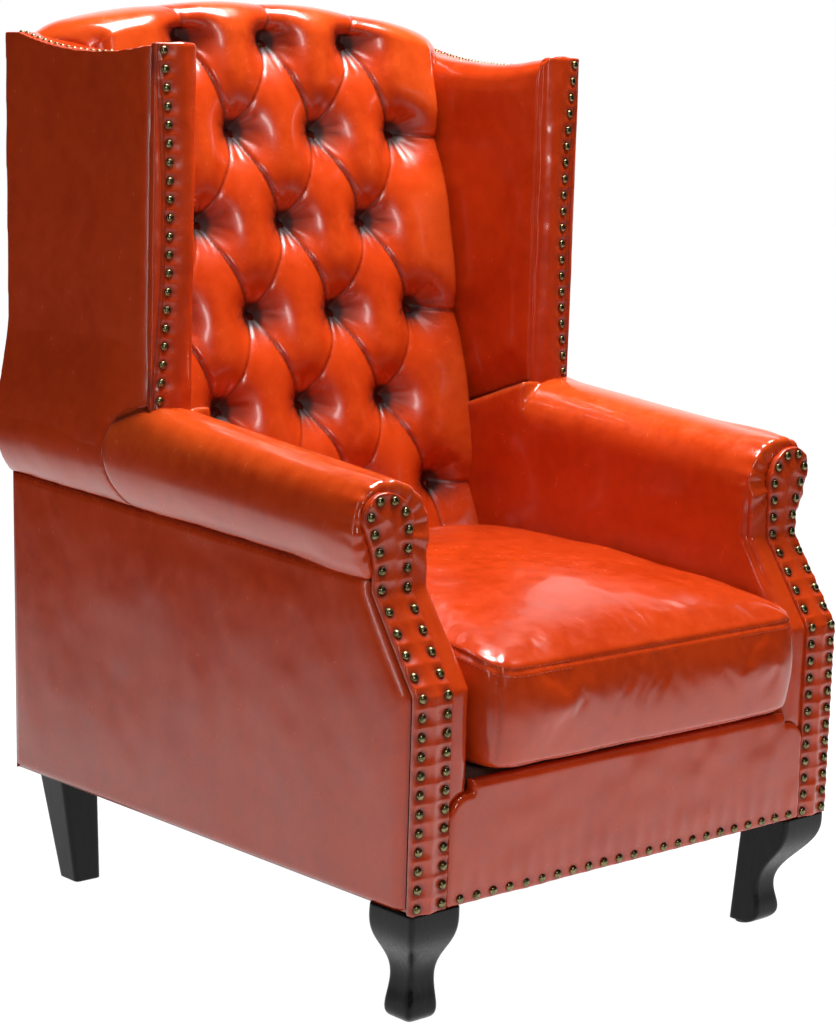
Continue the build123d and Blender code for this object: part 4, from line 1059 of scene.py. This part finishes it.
def make_cushion(name):
    """The loose cushion, blown up, then sewn."""
    skin = remeshed(cushion_draft(), "cushion_skin", *SKINS["cushion"])
    puffed = blown_up(skin, "cushion_skin")
    finer = puffed.modifiers.new("finer", "SUBSURF")
    finer.levels = finer.render_levels = 1
    sewn = evaluated_copy(puffed, name)
    sewn.data.shade_smooth()
    return model(sewn, shape_cushion)


# Flat panels


def softened(edge):
    """A round shoulder along a panel's edge, from its distance to each point."""
    share = np.clip(edge / PANEL_EDGE, 0, 1)
    return np.sqrt(share * (2 - share))


def side_panel(name):
    """The flat right-hand panel under the arm's roll, drawn tight with softened edges."""
    up, across = np.linspace(0, 1, SIDE_GRID[0])[:, None], np.linspace(0, 1, SIDE_GRID[1])
    z = BASE_Z + (crease_at(0) - BASE_Z) * up + 0 * across
    for _ in range(3):
        near, far = front_at(z) + SIDE_SETBACK, rear_at(z)
        y = near + (far - near) * across
        z = BASE_Z + (crease_at(y) - BASE_Z) * up
    edge = np.minimum(np.minimum(y - near, far - y), np.minimum(z - BASE_Z, crease_at(y) - z))
    x = BODY_X - SHOULDER_FOOT + SIDE_SHOULDER * softened(edge)
    x = x + SIDE_SWELL * ease(0, SIDE_SWELL_RUN, edge)
    x = x - SIDE_FRONT_FALL * ease(SIDE_FRONT_RUN, 0, y - near) ** 2
    x = x + waves(y, z, PANEL_WAVES) * ease(0, SIDE_SWELL_RUN / 2, edge)
    front = np.stack([x, y, z], axis=-1)
    back = front[:, [0, -1]].copy()
    back[:, :, 0] = BODY_X - PANEL_SINK
    # Painted shade along the panel's edges
    return panel(name, front, back, {"fold_shade": 0.5 * bell(edge, PANEL_FOLD), "swell": 0 * z}, 70)


def rear_panel(name):
    """The panel that closes the chair's rear, drawn flat, with softened edges."""
    up = np.linspace(0, 1, REAR_GRID[0])[:, None]
    half = BODY_X - REAR_INSET
    x = half * np.linspace(-1, 1, REAR_GRID[1]) + 0 * up
    top = np.minimum(crest_at(x * 0.985) - REAR_UNDER_CREST, BACK_CORNER_Z + REAR_OVER_CORNER)
    corner = BACK_CORNER_Z - 1
    top = np.where(np.abs(x) > CREST_HALF - 4, corner, np.maximum(top, corner))
    z = BASE_Z + (top - BASE_Z) * up
    edge = np.minimum(np.minimum(half - np.abs(x), z - BASE_Z), top - z)
    slack = waves(x, z, REAR_WAVES) + REAR_SWELL
    y = rear_at(z) - SHOULDER_FOOT + REAR_SHOULDER * softened(edge)
    y = y + slack * ease(0, REAR_SWELL_RUN, edge)
    front = np.stack([x, y, z], axis=-1)
    back = front[:, [0, -1]].copy()
    back[:, :, 1] = rear_at(back[:, :, 2]) - PANEL_SINK
    # Painted shade along the panel's edges
    return panel(name, front, back, {"fold_shade": 0.4 * bell(edge, PANEL_FOLD), "swell": 0 * z}, 70)


# Nodes


class Term:
    """A number on its way through a tree of nodes, used in plain expressions."""

    def __init__(self, tree, socket):
        self.tree, self.socket = tree, socket

    def _sum(self, operation, first, second):
        return add_node(self.tree, "ShaderNodeMath", {"operation": operation}, {0: first, 1: second})

    def __add__(self, other):
        return self._sum("ADD", self, other)

    __radd__ = __add__

    def __sub__(self, other):
        return self._sum("SUBTRACT", self, other)

    def __rsub__(self, other):
        return self._sum("SUBTRACT", other, self)

    def __mul__(self, other):
        return self._sum("MULTIPLY", self, other)

    __rmul__ = __mul__


def add_node(tree, kind, settings=None, values=None, out=0):
    """Any node: its settings are set first, then the values or links of its sockets."""
    node = tree.nodes.new(kind)
    for setting, value in (settings or {}).items():
        setattr(node, setting, value)
    for socket, value in (values or {}).items():
        if isinstance(value, Term):
            tree.links.new(value.socket, node.inputs[socket])
        else:
            node.inputs[socket].default_value = value
    return Term(tree, node.outputs[out])


# Nails, buttons and stitches: Geometry Nodes set one small shape on every seat


def node_tree(name, sizes):
    """A Geometry Nodes tree with its named sizes as inputs, and what its inputs give."""
    tree = bpy.data.node_groups.new(name, "GeometryNodeTree")
    tree.interface.new_socket("Geometry", in_out="INPUT", socket_type="NodeSocketGeometry")
    for size, (kind, value) in sizes.items():
        socket = tree.interface.new_socket(size, in_out="INPUT", socket_type=kind)
        socket.default_value = value
    tree.interface.new_socket("Geometry", in_out="OUTPUT", socket_type="NodeSocketGeometry")
    given = {socket.name: Term(tree, socket) for socket in tree.nodes.new("NodeGroupInput").outputs}
    return tree, given


def small_ball(tree, segments, rings, radius, width, height):
    """A ball drawn out to a width and a height."""
    shape = {"Segments": segments, "Rings": rings, "Radius": radius}
    ball = add_node(tree, "GeometryNodeMeshUVSphere", None, shape)
    size = add_node(tree, "ShaderNodeCombineXYZ", None, {"X": width, "Y": width, "Z": height})
    return add_node(tree, "GeometryNodeTransform", None, {"Geometry": ball, "Scale": size})


def set_out(tree, given, places, shape, way):
    """Sets a shape on every place, turned to face its way, and makes it plain mesh."""
    turned = add_node(tree, "FunctionNodeAlignRotationToVector", {"axis": "Z"}, {"Vector": way})
    values = {"Points": places, "Instance": shape, "Rotation": turned}
    spread = add_node(tree, "GeometryNodeInstanceOnPoints", None, values)
    real = add_node(tree, "GeometryNodeRealizeInstances", None, {"Geometry": spread})
    smooth = add_node(tree, "GeometryNodeSetShadeSmooth", None, {"Geometry": real})
    values = {"Geometry": smooth, "Material": given["Material"]}
    finished = add_node(tree, "GeometryNodeSetMaterial", None, values)
    tree.links.new(finished.socket, tree.nodes.new("NodeGroupOutput").inputs["Geometry"])
    return tree


def stud_tree():
    """Sets one flattened dome on every point, facing the way that the point says."""
    sizes = {
        "Radius": ("NodeSocketFloat", 0.0054),
        "Height": ("NodeSocketFloat", 0.0032),
        "Unevenness": ("NodeSocketFloat", 0.05),
        "Seed": ("NodeSocketInt", 1),
        "Material": ("NodeSocketMaterial", None),
    }
    tree, given = node_tree("studs", sizes)
    dome = small_ball(tree, 16, 8, 1.0, given["Radius"], given["Height"])
    vector = {"data_type": "FLOAT_VECTOR"}
    way = add_node(tree, "GeometryNodeInputNamedAttribute", vector, {"Name": "way"})
    values = {0: (-1.0, -1.0, -1.0), 1: (1.0, 1.0, 1.0), "Seed": given["Seed"]}
    tilt = add_node(tree, "FunctionNodeRandomValue", vector, values)
    values = {0: tilt, "Scale": given["Unevenness"]}
    uneven = add_node(tree, "ShaderNodeVectorMath", {"operation": "SCALE"}, values)
    tilted = add_node(tree, "ShaderNodeVectorMath", {"operation": "ADD"}, {0: way, 1: uneven})
    return set_out(tree, given, given["Geometry"], dome, tilted)


def stitch_tree():
    """Sets one stitch after another along a line of points, each turned along the line."""
    sizes = {
        "Pitch": ("NodeSocketFloat", 0.006),
        "Length": ("NodeSocketFloat", 0.0042),
        "Thickness": ("NodeSocketFloat", 0.0009),
        "Material": ("NodeSocketMaterial", None),
    }
    tree, given = node_tree("stitches", sizes)
    line = add_node(tree, "GeometryNodeMeshToCurve", None, {"Mesh": given["Geometry"]})
    values = {"Curve": line, "Length": given["Pitch"]}
    placed = add_node(tree, "GeometryNodeResampleCurve", {"mode": "LENGTH"}, values)
    thread = small_ball(tree, 6, 5, 0.5, given["Thickness"], given["Length"])
    return set_out(tree, given, placed, thread, add_node(tree, "GeometryNodeInputTangent"))


def shared_tree(name, maker):
    """The tree of a name, made the first time that it is asked for."""
    return bpy.data.node_groups.get(name) or maker()


def grown(name, mesh, tree, sizes):
    """A plain mesh object that a Geometry Nodes tree makes from the points of a mesh."""
    draft = linked("draft", mesh)
    modifier = draft.modifiers.new("nodes", "NODES")
    modifier.node_group = tree
    for item in tree.interface.items_tree:
        if item.in_out == "INPUT" and item.name in sizes:
            modifier[item.identifier] = sizes[item.name]
    return evaluated_copy(draft, name)


def studs(name, seats, ways, radius, height, material, seed, unevenness):
    """A row of domes on their seats."""
    mesh = bpy.data.meshes.new("seats")
    mesh.from_pydata((np.asarray(seats) * MM).tolist(), [], [])
    way = mesh.attributes.new("way", "FLOAT_VECTOR", "POINT")
    way.data.foreach_set("vector", np.asarray(ways, np.float32).ravel())
    sizes = {"Radius": radius, "Height": height, "Unevenness": unevenness, "Seed": seed}
    return grown(name, mesh, shared_tree("studs", stud_tree), {**sizes, "Material": material})


def stitches(name, lines, material, pitch, length=4.2 * MM, thickness=1.1 * MM):
    """Rows of stitches along lines of points; the sizes are in metres."""
    points, edges = [], []
    for line in lines:
        first = len(points)
        points += (np.asarray(line) * MM).tolist()
        edges += [(first + i, first + i + 1) for i in range(len(line) - 1)]
    mesh = bpy.data.meshes.new("lines")
    mesh.from_pydata(points, edges, [])
    sizes = {"Pitch": pitch, "Length": length, "Thickness": thickness, "Material": material}
    return grown(name, mesh, shared_tree("stitches", stitch_tree), sizes)


# Materials


def toned(colour, share):
    """A colour made darker or lighter by a share."""
    return tuple(part * share for part in colour)


class Finish:
    """A material with one principled shader, and the few ways of making its nodes."""

    def __init__(self, name):
        self.material = bpy.data.materials.new(name)
        self.material.use_nodes = True
        self.tree = self.material.node_tree
        self.shader = self.tree.nodes["Principled BSDF"]
        self.place = self.node("ShaderNodeTexCoord", out="Object")

    def node(self, kind, settings=None, values=None, out=0):
        """Any node of this material."""
        return add_node(self.tree, kind, settings, values, out)

    def noise(self, scale, detail=2.0, roughness=0.5, place=None):
        """Cloudy noise from 0 to 1 at a scale per metre."""
        values = {"Vector": place or self.place, "Scale": scale}
        values |= {"Detail": detail, "Roughness": roughness}
        return self.node("ShaderNodeTexNoise", None, values)

    def cells(self, scale):
        """Distance to the edges of small cells, at a scale per metre."""
        values = {"Vector": self.place, "Scale": scale}
        return self.node("ShaderNodeTexVoronoi", {"feature": "DISTANCE_TO_EDGE"}, values)

    def mark(self, name):
        """A mark kept on the points of the mesh."""
        return self.node("ShaderNodeAttribute", {"attribute_name": name}, out="Fac")

    def span(self, value, low, high, new_low=0.0, new_high=1.0):
        """A value moved from one range to another, and held at its ends."""
        values = {0: value, 1: low, 2: high, 3: new_low, 4: new_high}
        settings = {"clamp": True, "interpolation_type": "SMOOTHSTEP"}
        return self.node("ShaderNodeMapRange", settings, values)

    def blend(self, share, first, second):
        """A colour between two others."""
        first, second = (c if isinstance(c, Term) else (*c, 1) for c in (first, second))
        values = {0: share, 6: first, 7: second}
        return self.node("ShaderNodeMix", {"data_type": "RGBA"}, values, out=2)

    def bump(self, height, depth, strength, after=None):
        """A surface roughened by a height of some depth in millimetres."""
        values = {"Height": height, "Distance": depth * MM, "Strength": strength}
        if after:
            values["Normal"] = after
        return self.node("ShaderNodeBump", None, values)

    def set(self, **values):
        """Sets the shader's sockets, named with underscores for spaces."""
        for socket, value in values.items():
            target = self.shader.inputs[socket.replace("_", " ")]
            if isinstance(value, Term):
                self.tree.links.new(value.socket, target)
            else:
                target.default_value = (*value, 1) if isinstance(value, tuple) else value
        return self.material


def leather_finish(name, colour, dark, worn_lit):
    """Polished pulled leather, finely grained: painted shade, nearly black, in its folds, seams and
    pockets; lighter where it is stretched, partly pull-up and partly painted highlight.
    """
    f = Finish(name)
    cloud, mottle = f.noise(7.0, 3.0, 0.6), f.noise(46.0, 4.0, 0.62)
    grain, pores, wrinkle = f.cells(620.0), f.noise(900.0), f.noise(30.0)
    fold_shade, swell = f.mark("fold_shade"), f.mark("swell")
    tone = f.span(cloud * 0.5 + mottle * 0.5, 0.3, 0.62, 0.62, 1.0)
    base = f.blend(tone, dark, colour)
    # Lighter on puffs, roll tops and ridges: partly pull-up and wear, partly painted highlight
    base = f.blend(f.span(swell * 0.75 + mottle * 0.5, 0.55, 1.15, 0.0, 0.55), base, worn_lit)
    # Painted shade: nearly black in the folds, seams and pockets
    base = f.blend(f.span(fold_shade, 0.08, 0.8, 0.0, 0.95), base, toned(dark, 0.1))
    fine = f.bump(f.span(grain, 0.0, 0.09) * 0.7 + pores * 0.3, 0.04, 0.4)
    return f.set(
        Base_Color=base,
        Roughness=f.span(mottle, 0.3, 0.75, 0.17, 0.28) + fold_shade * 0.3,
        Normal=f.bump(wrinkle, 0.5, 0.2, fine),
        Coat_Weight=f.span(fold_shade, 0.0, 0.5, 0.34, 0.0),
        Coat_Roughness=0.07,
    )


def brass_finish(name, colour):
    """Old brass, greener and duller in patches."""
    f = Finish(name)
    patch, spots = f.noise(190.0, 3.0, 0.6), f.noise(700.0)
    dull = (colour[0] * 0.42, colour[1] * 0.45, colour[2] * 0.4)
    return f.set(
        Base_Color=f.blend(f.span(patch, 0.42, 0.66), colour, dull),
        Metallic=1.0,
        Roughness=f.span(patch, 0.3, 0.7, 0.2, 0.42),
        Normal=f.bump(spots, 0.12, 0.5),
    )


def wood_finish(name, colour, streak, roughness, shine):
    """Wood with its grain along the height of the chair."""
    f = Finish(name)
    stretched = f.node("ShaderNodeMapping", None, {"Vector": f.place, "Scale": (34.0, 34.0, 2.6)})
    rings, fibre = f.noise(1.4, 4.0, 0.65, stretched), f.noise(7.0, 3.0, 0.7, stretched)
    return f.set(
        Base_Color=f.blend(f.span(rings * 0.7 + fibre * 0.3, 0.36, 0.66), colour, streak),
        Roughness=f.span(fibre, 0.3, 0.7, roughness - 0.06, roughness + 0.08),
        Normal=f.bump(fibre, 0.18, 0.35),
        Specular_IOR_Level=shine,
    )


def weave_finish(name, colour, dark, pitch, depth):
    """A plain weave, as on webbing and cloth; pitch and depth in millimetres."""
    f = Finish(name)
    count = 1 / (pitch * MM)

    def threads(axis):
        along = f.node("ShaderNodeSeparateXYZ", None, {0: f.place}, out=axis)
        return f.node("ShaderNodeMath", {"operation": "SINE"}, {0: along * (2 * math.pi * count)})

    over = threads("X") * threads("Y") + threads("Z") * 0.5
    fuzz = f.noise(count * 0.8, 3.0, 0.6)
    return f.set(
        Base_Color=f.blend(f.span(over * 0.25 + fuzz, 0.2, 0.9), dark, colour),
        Roughness=f.span(fuzz, 0.2, 0.8, 0.8, 0.95),
        Normal=f.bump(over * 0.3 + fuzz, depth, 0.6),
        Sheen_Weight=0.15,
    )


def plain_finish(name, colour, roughness, metallic):
    """Moulded plastic, drawn steel or waxed thread, with small scuffs."""
    f = Finish(name)
    scuff = f.noise(240.0, 4.0, 0.65)
    return f.set(
        Base_Color=f.blend(f.span(scuff, 0.4, 0.7), colour, toned(colour, 0.6)),
        Metallic=metallic,
        Roughness=f.span(scuff, 0.3, 0.7, roughness - 0.08, roughness + 0.1),
        Normal=f.bump(scuff, 0.05, 0.4),
    )


WEBBING = ((0.33, 0.22, 0.11), (0.12, 0.07, 0.03), 2.4, 0.5)
DECK_CLOTH = ((0.10, 0.035, 0.02), (0.04, 0.012, 0.008), 0.9, 0.2)
DUST_CLOTH = ((0.022, 0.022, 0.024), (0.008, 0.008, 0.009), 1.1, 0.15)
BOLT_STEEL = ((0.55, 0.55, 0.56), 0.34, 1.0)
GLIDE_PLASTIC = ((0.03, 0.03, 0.032), 0.45, 0.0)


def finish(kind):
    """A finish of the chair, made from the colours in the panel the first time it is asked for."""
    name = f"{kind}_finish"
    known = bpy.data.materials.get(name)
    if known:
        return known
    c = bpy.context.scene.chair_colours
    leather, dark, worn_lit = tuple(c.leather), tuple(c.leather_dark), tuple(c.leather_worn_lit)
    leg, timber = tuple(c.leg), tuple(c.timber)
    makers = {
        "leather": lambda: leather_finish(name, leather, dark, worn_lit),
        # The buttons are a darkened copy of the leather: painted shade for their deep pockets
        "button_leather": lambda: leather_finish(name, *[toned(dark, 0.3)] * 3),
        "brass_nail": lambda: brass_finish(name, tuple(c.brass)),
        "leg_wood": lambda: wood_finish(name, leg, toned(leg, 1.6), 0.3, 0.22),
        "frame_wood": lambda: wood_finish(name, timber, toned(timber, 0.62), 0.6, 0.4),
        "webbing": lambda: weave_finish(name, *WEBBING),
        "deck_cloth": lambda: weave_finish(name, *DECK_CLOTH),
        "dust_cloth": lambda: weave_finish(name, *DUST_CLOTH),
        "bolt_steel": lambda: plain_finish(name, *BOLT_STEEL),
        "glide_plastic": lambda: plain_finish(name, *GLIDE_PLASTIC),
        "thread": lambda: plain_finish(name, toned(leather, 0.75), 0.5, 0.0),
    }
    return makers[kind]()


# The pieces, each made by its own operator


def length(name, description, default, low):
    """A length in metres that a user would change."""
    return FloatProperty(name=name, description=description, default=default, min=low, unit="LENGTH")


def colour(name, description, default):
    """A colour that a user would change."""
    return FloatVectorProperty(
        name=name, description=description, default=default, min=0.0, max=1.0, subtype="COLOR"
    )


class ChairSizes(bpy.types.PropertyGroup):
    """Sizes that a user would change"""

    nail_radius: length("Nail radius", "Radius of a decorative nail's head", 0.0054, 0.002)
    nail_height: length("Nail height", "How far a nail's dome stands off the leather", 0.0034, 0.001)
    nail_unevenness: FloatProperty(
        name="Nail unevenness",
        description="How far the nails are driven out of true, as a share",
        default=0.08,
        min=0.0,
        max=0.4,
        subtype="FACTOR",
    )
    button_radius: length("Button radius", "Radius of a leather-covered button", 0.0115, 0.005)
    button_height: length("Button height", "How far a button's dome stands off its seat", 0.0062, 0.001)
    stitch_pitch: length("Stitch pitch", "Length from one stitch to the next", 0.0062, 0.002)


class ChairColours(bpy.types.PropertyGroup):
    """Colours that a user would change"""

    leather: colour("Leather", "Main colour of the leather", (0.52, 0.043, 0.004))
    leather_dark: colour("Dark leather", "The leather in its shaded mottling", (0.27, 0.013, 0.002))
    # Lighter leather on stretched and worn places, also used as painted highlight on tops and ridges
    leather_worn_lit: colour("Pulled leather", "The leather where it is stretched", (0.74, 0.098, 0.012))
    brass: colour("Brass", "Colour of the nails", (0.24, 0.21, 0.10))
    leg: colour("Leg", "Colour of the polished legs", (0.005, 0.004, 0.004))
    timber: colour("Timber", "Colour of the hidden frame", (0.55, 0.38, 0.2))
    floor: colour("Floor", "Colour of the studio floor", (0.86, 0.86, 0.86))


def dress(piece, material, nodes, body="chair"):
    """Gives a finished piece its material and what the frame has to know about it."""
    piece.data.materials.clear()
    piece.data.materials.append(finish(material))
    if nodes:
        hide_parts(*nodes)
    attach(piece, body)


def dress_pair(right, name, material, node):
    """Dresses a right-hand piece and makes its left-hand twin."""
    left = flip(right, f"{name}_left")
    dress(right, material, [f"{node}_right"])
    dress(left, material, [f"{node}_left"])


def padded_pair(name, node, fill, shaper, *details):
    """A padded right-hand piece, shaped from its CAD solid, and its left-hand twin."""
    right = model(soft_copy(f"{name}_right", f"{node}_right"), shaper, *details)
    dress_pair(right, name, "leather", node)


class CHAIR_OT_back(bpy.types.Operator):
    """Makes the buttoned back and its crest"""

    bl_idname = "chair.back"
    bl_label = "Buttoned back"

    def execute(self, context):
        sizes = context.scene.chair_sizes
        dress(make_back("Buttoned_back"), "leather", ["inside_back"])
        seats = button_seats()
        outward = np.array([0, -math.cos(LEAN), math.sin(LEAN)])
        buttons = studs(
            "Back_buttons",
            seats + outward * BUTTON_SINK,
            np.tile(outward, (len(seats), 1)),
            sizes.button_radius,
            sizes.button_height,
            finish("button_leather"),
            seed=4,
            unevenness=0.16,
        )
        dress(buttons, "button_leather", ["back_buttons"])
        return {"FINISHED"}


class CHAIR_OT_arms(bpy.types.Operator):
    """Makes the inside arms with their rolls, the flat outside arms and the facings"""

    bl_idname = "chair.arms"
    bl_label = "Arms"

    def execute(self, context):
        padded_pair("Inside_arm", "inside_arm", 0.9, shape_inside_arm)
        seats, _ = nail_seats("facing_nails_right")
        padded_pair("Arm_facing", "arm_facing", 0.9, shape_facing, seats)
        dress_pair(side_panel("Outside_arm_right"), "Outside_arm", "leather", "outside_arm")
        return {"FINISHED"}


class CHAIR_OT_wings(bpy.types.Operator):
    """Makes the wings: padded inside, a band down the front and a drawn panel outside"""

    bl_idname = "chair.wings"
    bl_label = "Wings"

    def execute(self, context):
        padded_pair("Inside_wing", "inside_wing", 0.8, shape_inside_wing)
        seats, _ = nail_seats("wing_nails_right")
        padded_pair("Wing_band", "wing_facing", 0.8, shape_wing_band, seats)
        padded_pair("Outside_wing", "outside_wing", 0.8, shape_outside_wing)
        return {"FINISHED"}


class CHAIR_OT_covers(bpy.types.Operator):
    """Makes the apron, the outside back and the deck under the cushion"""

    bl_idname = "chair.covers"
    bl_label = "Apron, rear and deck"

    def execute(self, context):
        seats, _ = nail_seats("apron_nails")
        apron = model(soft_copy("Front_apron", "front_apron"), shape_apron, seats)
        dress(apron, "leather", ["front_apron"])
        dress(rear_panel("Outside_back"), "leather", ["outside_back"])
        dress(soft_copy("Deck_pad", "seat_deck"), "deck_cloth", ["seat_deck"])
        return {"FINISHED"}


class CHAIR_OT_cushion(bpy.types.Operator):
    """Makes the loose seat cushion"""

    bl_idname = "chair.cushion"
    bl_label = "Seat cushion"

    def execute(self, context):
        cushion = make_cushion("Loose_cushion")
        pitch = context.scene.chair_sizes.stitch_pitch
        sewing = stitches("Cushion_stitches", cushion_seams(cushion), finish("thread"), pitch)
        dress(sewing, "thread", [], body="cushion")
        dress(cushion, "leather", ["seat_cushion"], body="cushion")
        return {"FINISHED"}


class CHAIR_OT_nails(bpy.types.Operator):
    """Drives the decorative nails"""

    bl_idname = "chair.nails"
    bl_label = "Decorative nails"

    def execute(self, context):
        sizes = context.scene.chair_sizes
        paired = ("facing_nails", "wing_nails", "wing_edge_nails")
        rows = ["apron_nails"] + [f"{row}_{side}" for row in paired for side in ("left", "right")]
        for seed, row in enumerate(rows, start=1):
            seats, ways = nail_seats(row)
            share = EDGE_NAIL_SHARE if "edge" in row else 1
            nails = studs(
                row.capitalize() + "_domes",
                seats,
                ways,
                sizes.nail_radius * share,
                sizes.nail_height * share,
                finish("brass_nail"),
                seed=seed,
                unevenness=sizes.nail_unevenness,
            )
            dress(nails, "brass_nail", [row])
        return {"FINISHED"}


class CHAIR_OT_legs(bpy.types.Operator):
    """Makes the four polished legs"""

    bl_idname = "chair.legs"
    bl_label = "Legs"

    def execute(self, context):
        for node in ("front_leg", "rear_leg"):
            leg = soft_copy(f"{node.capitalize()}_right", f"{node}_right")
            dress_pair(leg, node.capitalize(), "leg_wood", node)
        return {"FINISHED"}


class CHAIR_OT_hidden(bpy.types.Operator):
    """Gives the frame, webbing, cloth and hardware their finishes"""

    bl_idname = "chair.hidden"
    bl_label = "Frame and hardware"

    def execute(self, context):
        paired = "back_post back_stile arm_post arm_rail side_rail wing_post wing_rail".split()
        timbers = [f"{node}_{side}" for node in paired for side in ("left", "right")]
        timbers += "back_cross_rail back_top_rail front_rail rear_rail corner_blocks".split()
        finishes = {
            "frame_wood": timbers,
            "webbing": ["seat_webbing", "back_webbing"],
            "dust_cloth": ["dust_cover"],
            "bolt_steel": ["leg_bolts"],
            "glide_plastic": ["glides"],
        }
        for material, nodes in finishes.items():
            for node in nodes:
                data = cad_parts[node].data
                data.materials.clear()
                data.materials.append(finish(material))
        return {"FINISHED"}


# Stage


def make_floor(colour):
    """A pale floor that shines white behind the chair, and darker to its sides."""
    mesh = bpy.data.meshes.new("Floor")
    sides = ((-1, -1), (1, -1), (1, 1), (-1, 1))
    corners = [(x * FLOOR_REACH, y * FLOOR_REACH, 0) for x, y in sides]
    mesh.from_pydata(corners, [], [(0, 1, 2, 3)])
    f = Finish("floor")
    f.set(Base_Color=colour, Roughness=0.8, Specular_IOR_Level=0.1)
    behind, beside = (
        f.node("ShaderNodeVectorMath", {"operation": "DOT_PRODUCT"}, {0: f.place, 1: way}, out="Value")
        for way in (AWAY, ASIDE)
    )
    beside = f.node("ShaderNodeMath", {"operation": "ABSOLUTE"}, {0: beside}) - behind * GLOW_SPREAD
    near = f.span(behind, *GLOW_AWAY) * f.span(beside, *GLOW_ASIDE)
    white = f.blend(near, (0.0, 0.0, 0.0), (GLOW, GLOW, GLOW))
    glow = f.node("ShaderNodeEmission", None, {"Color": white})
    rays = ("Is Camera Ray", "Is Glossy Ray", "Is Transmission Ray")
    seen, *others = (f.node("ShaderNodeLightPath", out=ray) for ray in rays)
    for other in others:
        seen = seen + other
    share = f.span(seen, 0.0, 1.0, 0.0, GLOW_SHARE)
    lit = Term(f.tree, f.shader.outputs[0])
    mixed = f.node("ShaderNodeMixShader", None, {0: share, 1: lit, 2: glow})
    f.tree.links.new(mixed.socket, f.tree.nodes["Material Output"].inputs["Surface"])
    mesh.materials.append(f.material)
    linked("Floor", mesh)


def make_surroundings():
    """A world that is white behind the chair and nearly black all round."""
    world = bpy.data.worlds.new("Studio")
    world.use_nodes = True
    bpy.context.scene.world = world
    tree = world.node_tree
    place = add_node(tree, "ShaderNodeTexCoord", out="Generated")
    values = {0: place, 1: AWAY}
    along = add_node(tree, "ShaderNodeVectorMath", {"operation": "DOT_PRODUCT"}, values, out="Value")
    values = {0: along, 1: WALL_EDGE[0], 2: WALL_EDGE[1], 3: WALL_DARK, 4: 1.0}
    strength = add_node(tree, "ShaderNodeMapRange", {"interpolation_type": "SMOOTHSTEP"}, values)
    background = tree.nodes["Background"]
    tree.links.new(strength.socket, background.inputs["Strength"])
    background.inputs["Color"].default_value = (1, 1, 1, 1)


def soft_light(name, place, target, width, height, power):
    """A rectangular soft box that faces a target."""
    lamp = bpy.data.lights.new(name, "AREA")
    lamp.shape = "RECTANGLE"
    lamp.size, lamp.size_y = width, height
    lamp.energy = power
    light = linked(name, lamp)
    light.location = place
    light.rotation_euler = (Vector(target) - Vector(place)).to_track_quat("-Z", "Y").to_euler()


def make_camera():
    """The camera that took the photograph, as solved from the chair's edges."""
    data = bpy.data.cameras.new("Camera")
    data.sensor_fit = "AUTO"
    data.sensor_width = SENSOR
    data.lens = SENSOR * CAMERA_FOCAL / PICTURE_HEIGHT
    camera = linked("Camera", data)
    a, e, r = (math.radians(value) for value in CAMERA_TURN)
    back = Vector((math.sin(a) * math.cos(e), -math.cos(a) * math.cos(e), math.sin(e)))
    across = Vector((0, 0, 1)).cross(back).normalized()
    up = back.cross(across)
    right = math.cos(r) * across + math.sin(r) * up
    upright = -math.sin(r) * across + math.cos(r) * up
    turn = Matrix((right, upright, back)).transposed().to_4x4()
    camera.matrix_world = Matrix.Translation(CAMERA_PLACE) @ turn
    bpy.context.scene.camera = camera


class CHAIR_OT_stage(bpy.types.Operator):
    """Makes the studio: floor, lights, surroundings and camera"""

    bl_idname = "chair.stage"
    bl_label = "Studio"

    def execute(self, context):
        context.scene.view_settings.view_transform = "Standard"
        make_floor(tuple(context.scene.chair_colours.floor))
        make_surroundings()
        for lamp in LAMPS:
            soft_light(*lamp)
        make_camera()
        return {"FINISHED"}


class CHAIR_PT_panel(bpy.types.Panel):
    """Lists the chair's sizes, colours and pieces"""

    bl_idname = "CHAIR_PT_panel"
    bl_label = "Wing armchair"
    bl_space_type = "VIEW_3D"
    bl_region_type = "UI"
    bl_category = "Chair"

    def draw(self, context):
        layout = self.layout
        for group in (context.scene.chair_sizes, context.scene.chair_colours):
            for name in type(group).__annotations__:
                layout.prop(group, name)
        for operator in OPERATORS:
            layout.operator(operator.bl_idname)


OPERATORS = (
    CHAIR_OT_stage,
    CHAIR_OT_back,
    CHAIR_OT_arms,
    CHAIR_OT_wings,
    CHAIR_OT_covers,
    CHAIR_OT_cushion,
    CHAIR_OT_nails,
    CHAIR_OT_legs,
    CHAIR_OT_hidden,
)
CLASSES = (ChairSizes, ChairColours, *OPERATORS, CHAIR_PT_panel)


def register():
    for made in CLASSES:
        bpy.utils.register_class(made)
    bpy.types.Scene.chair_sizes = PointerProperty(type=ChairSizes)
    bpy.types.Scene.chair_colours = PointerProperty(type=ChairColours)


def unregister():
    del bpy.types.Scene.chair_colours
    del bpy.types.Scene.chair_sizes
    for made in reversed(CLASSES):
        bpy.utils.unregister_class(made)


def main():
    """Makes every piece."""
    register()
    bpy.ops.chair.stage()
    bpy.ops.chair.back()
    bpy.ops.chair.arms()
    bpy.ops.chair.wings()
    bpy.ops.chair.covers()
    bpy.ops.chair.cushion()
    bpy.ops.chair.nails()
    bpy.ops.chair.legs()
    bpy.ops.chair.hidden()


if __name__ == "__main__":
    main()
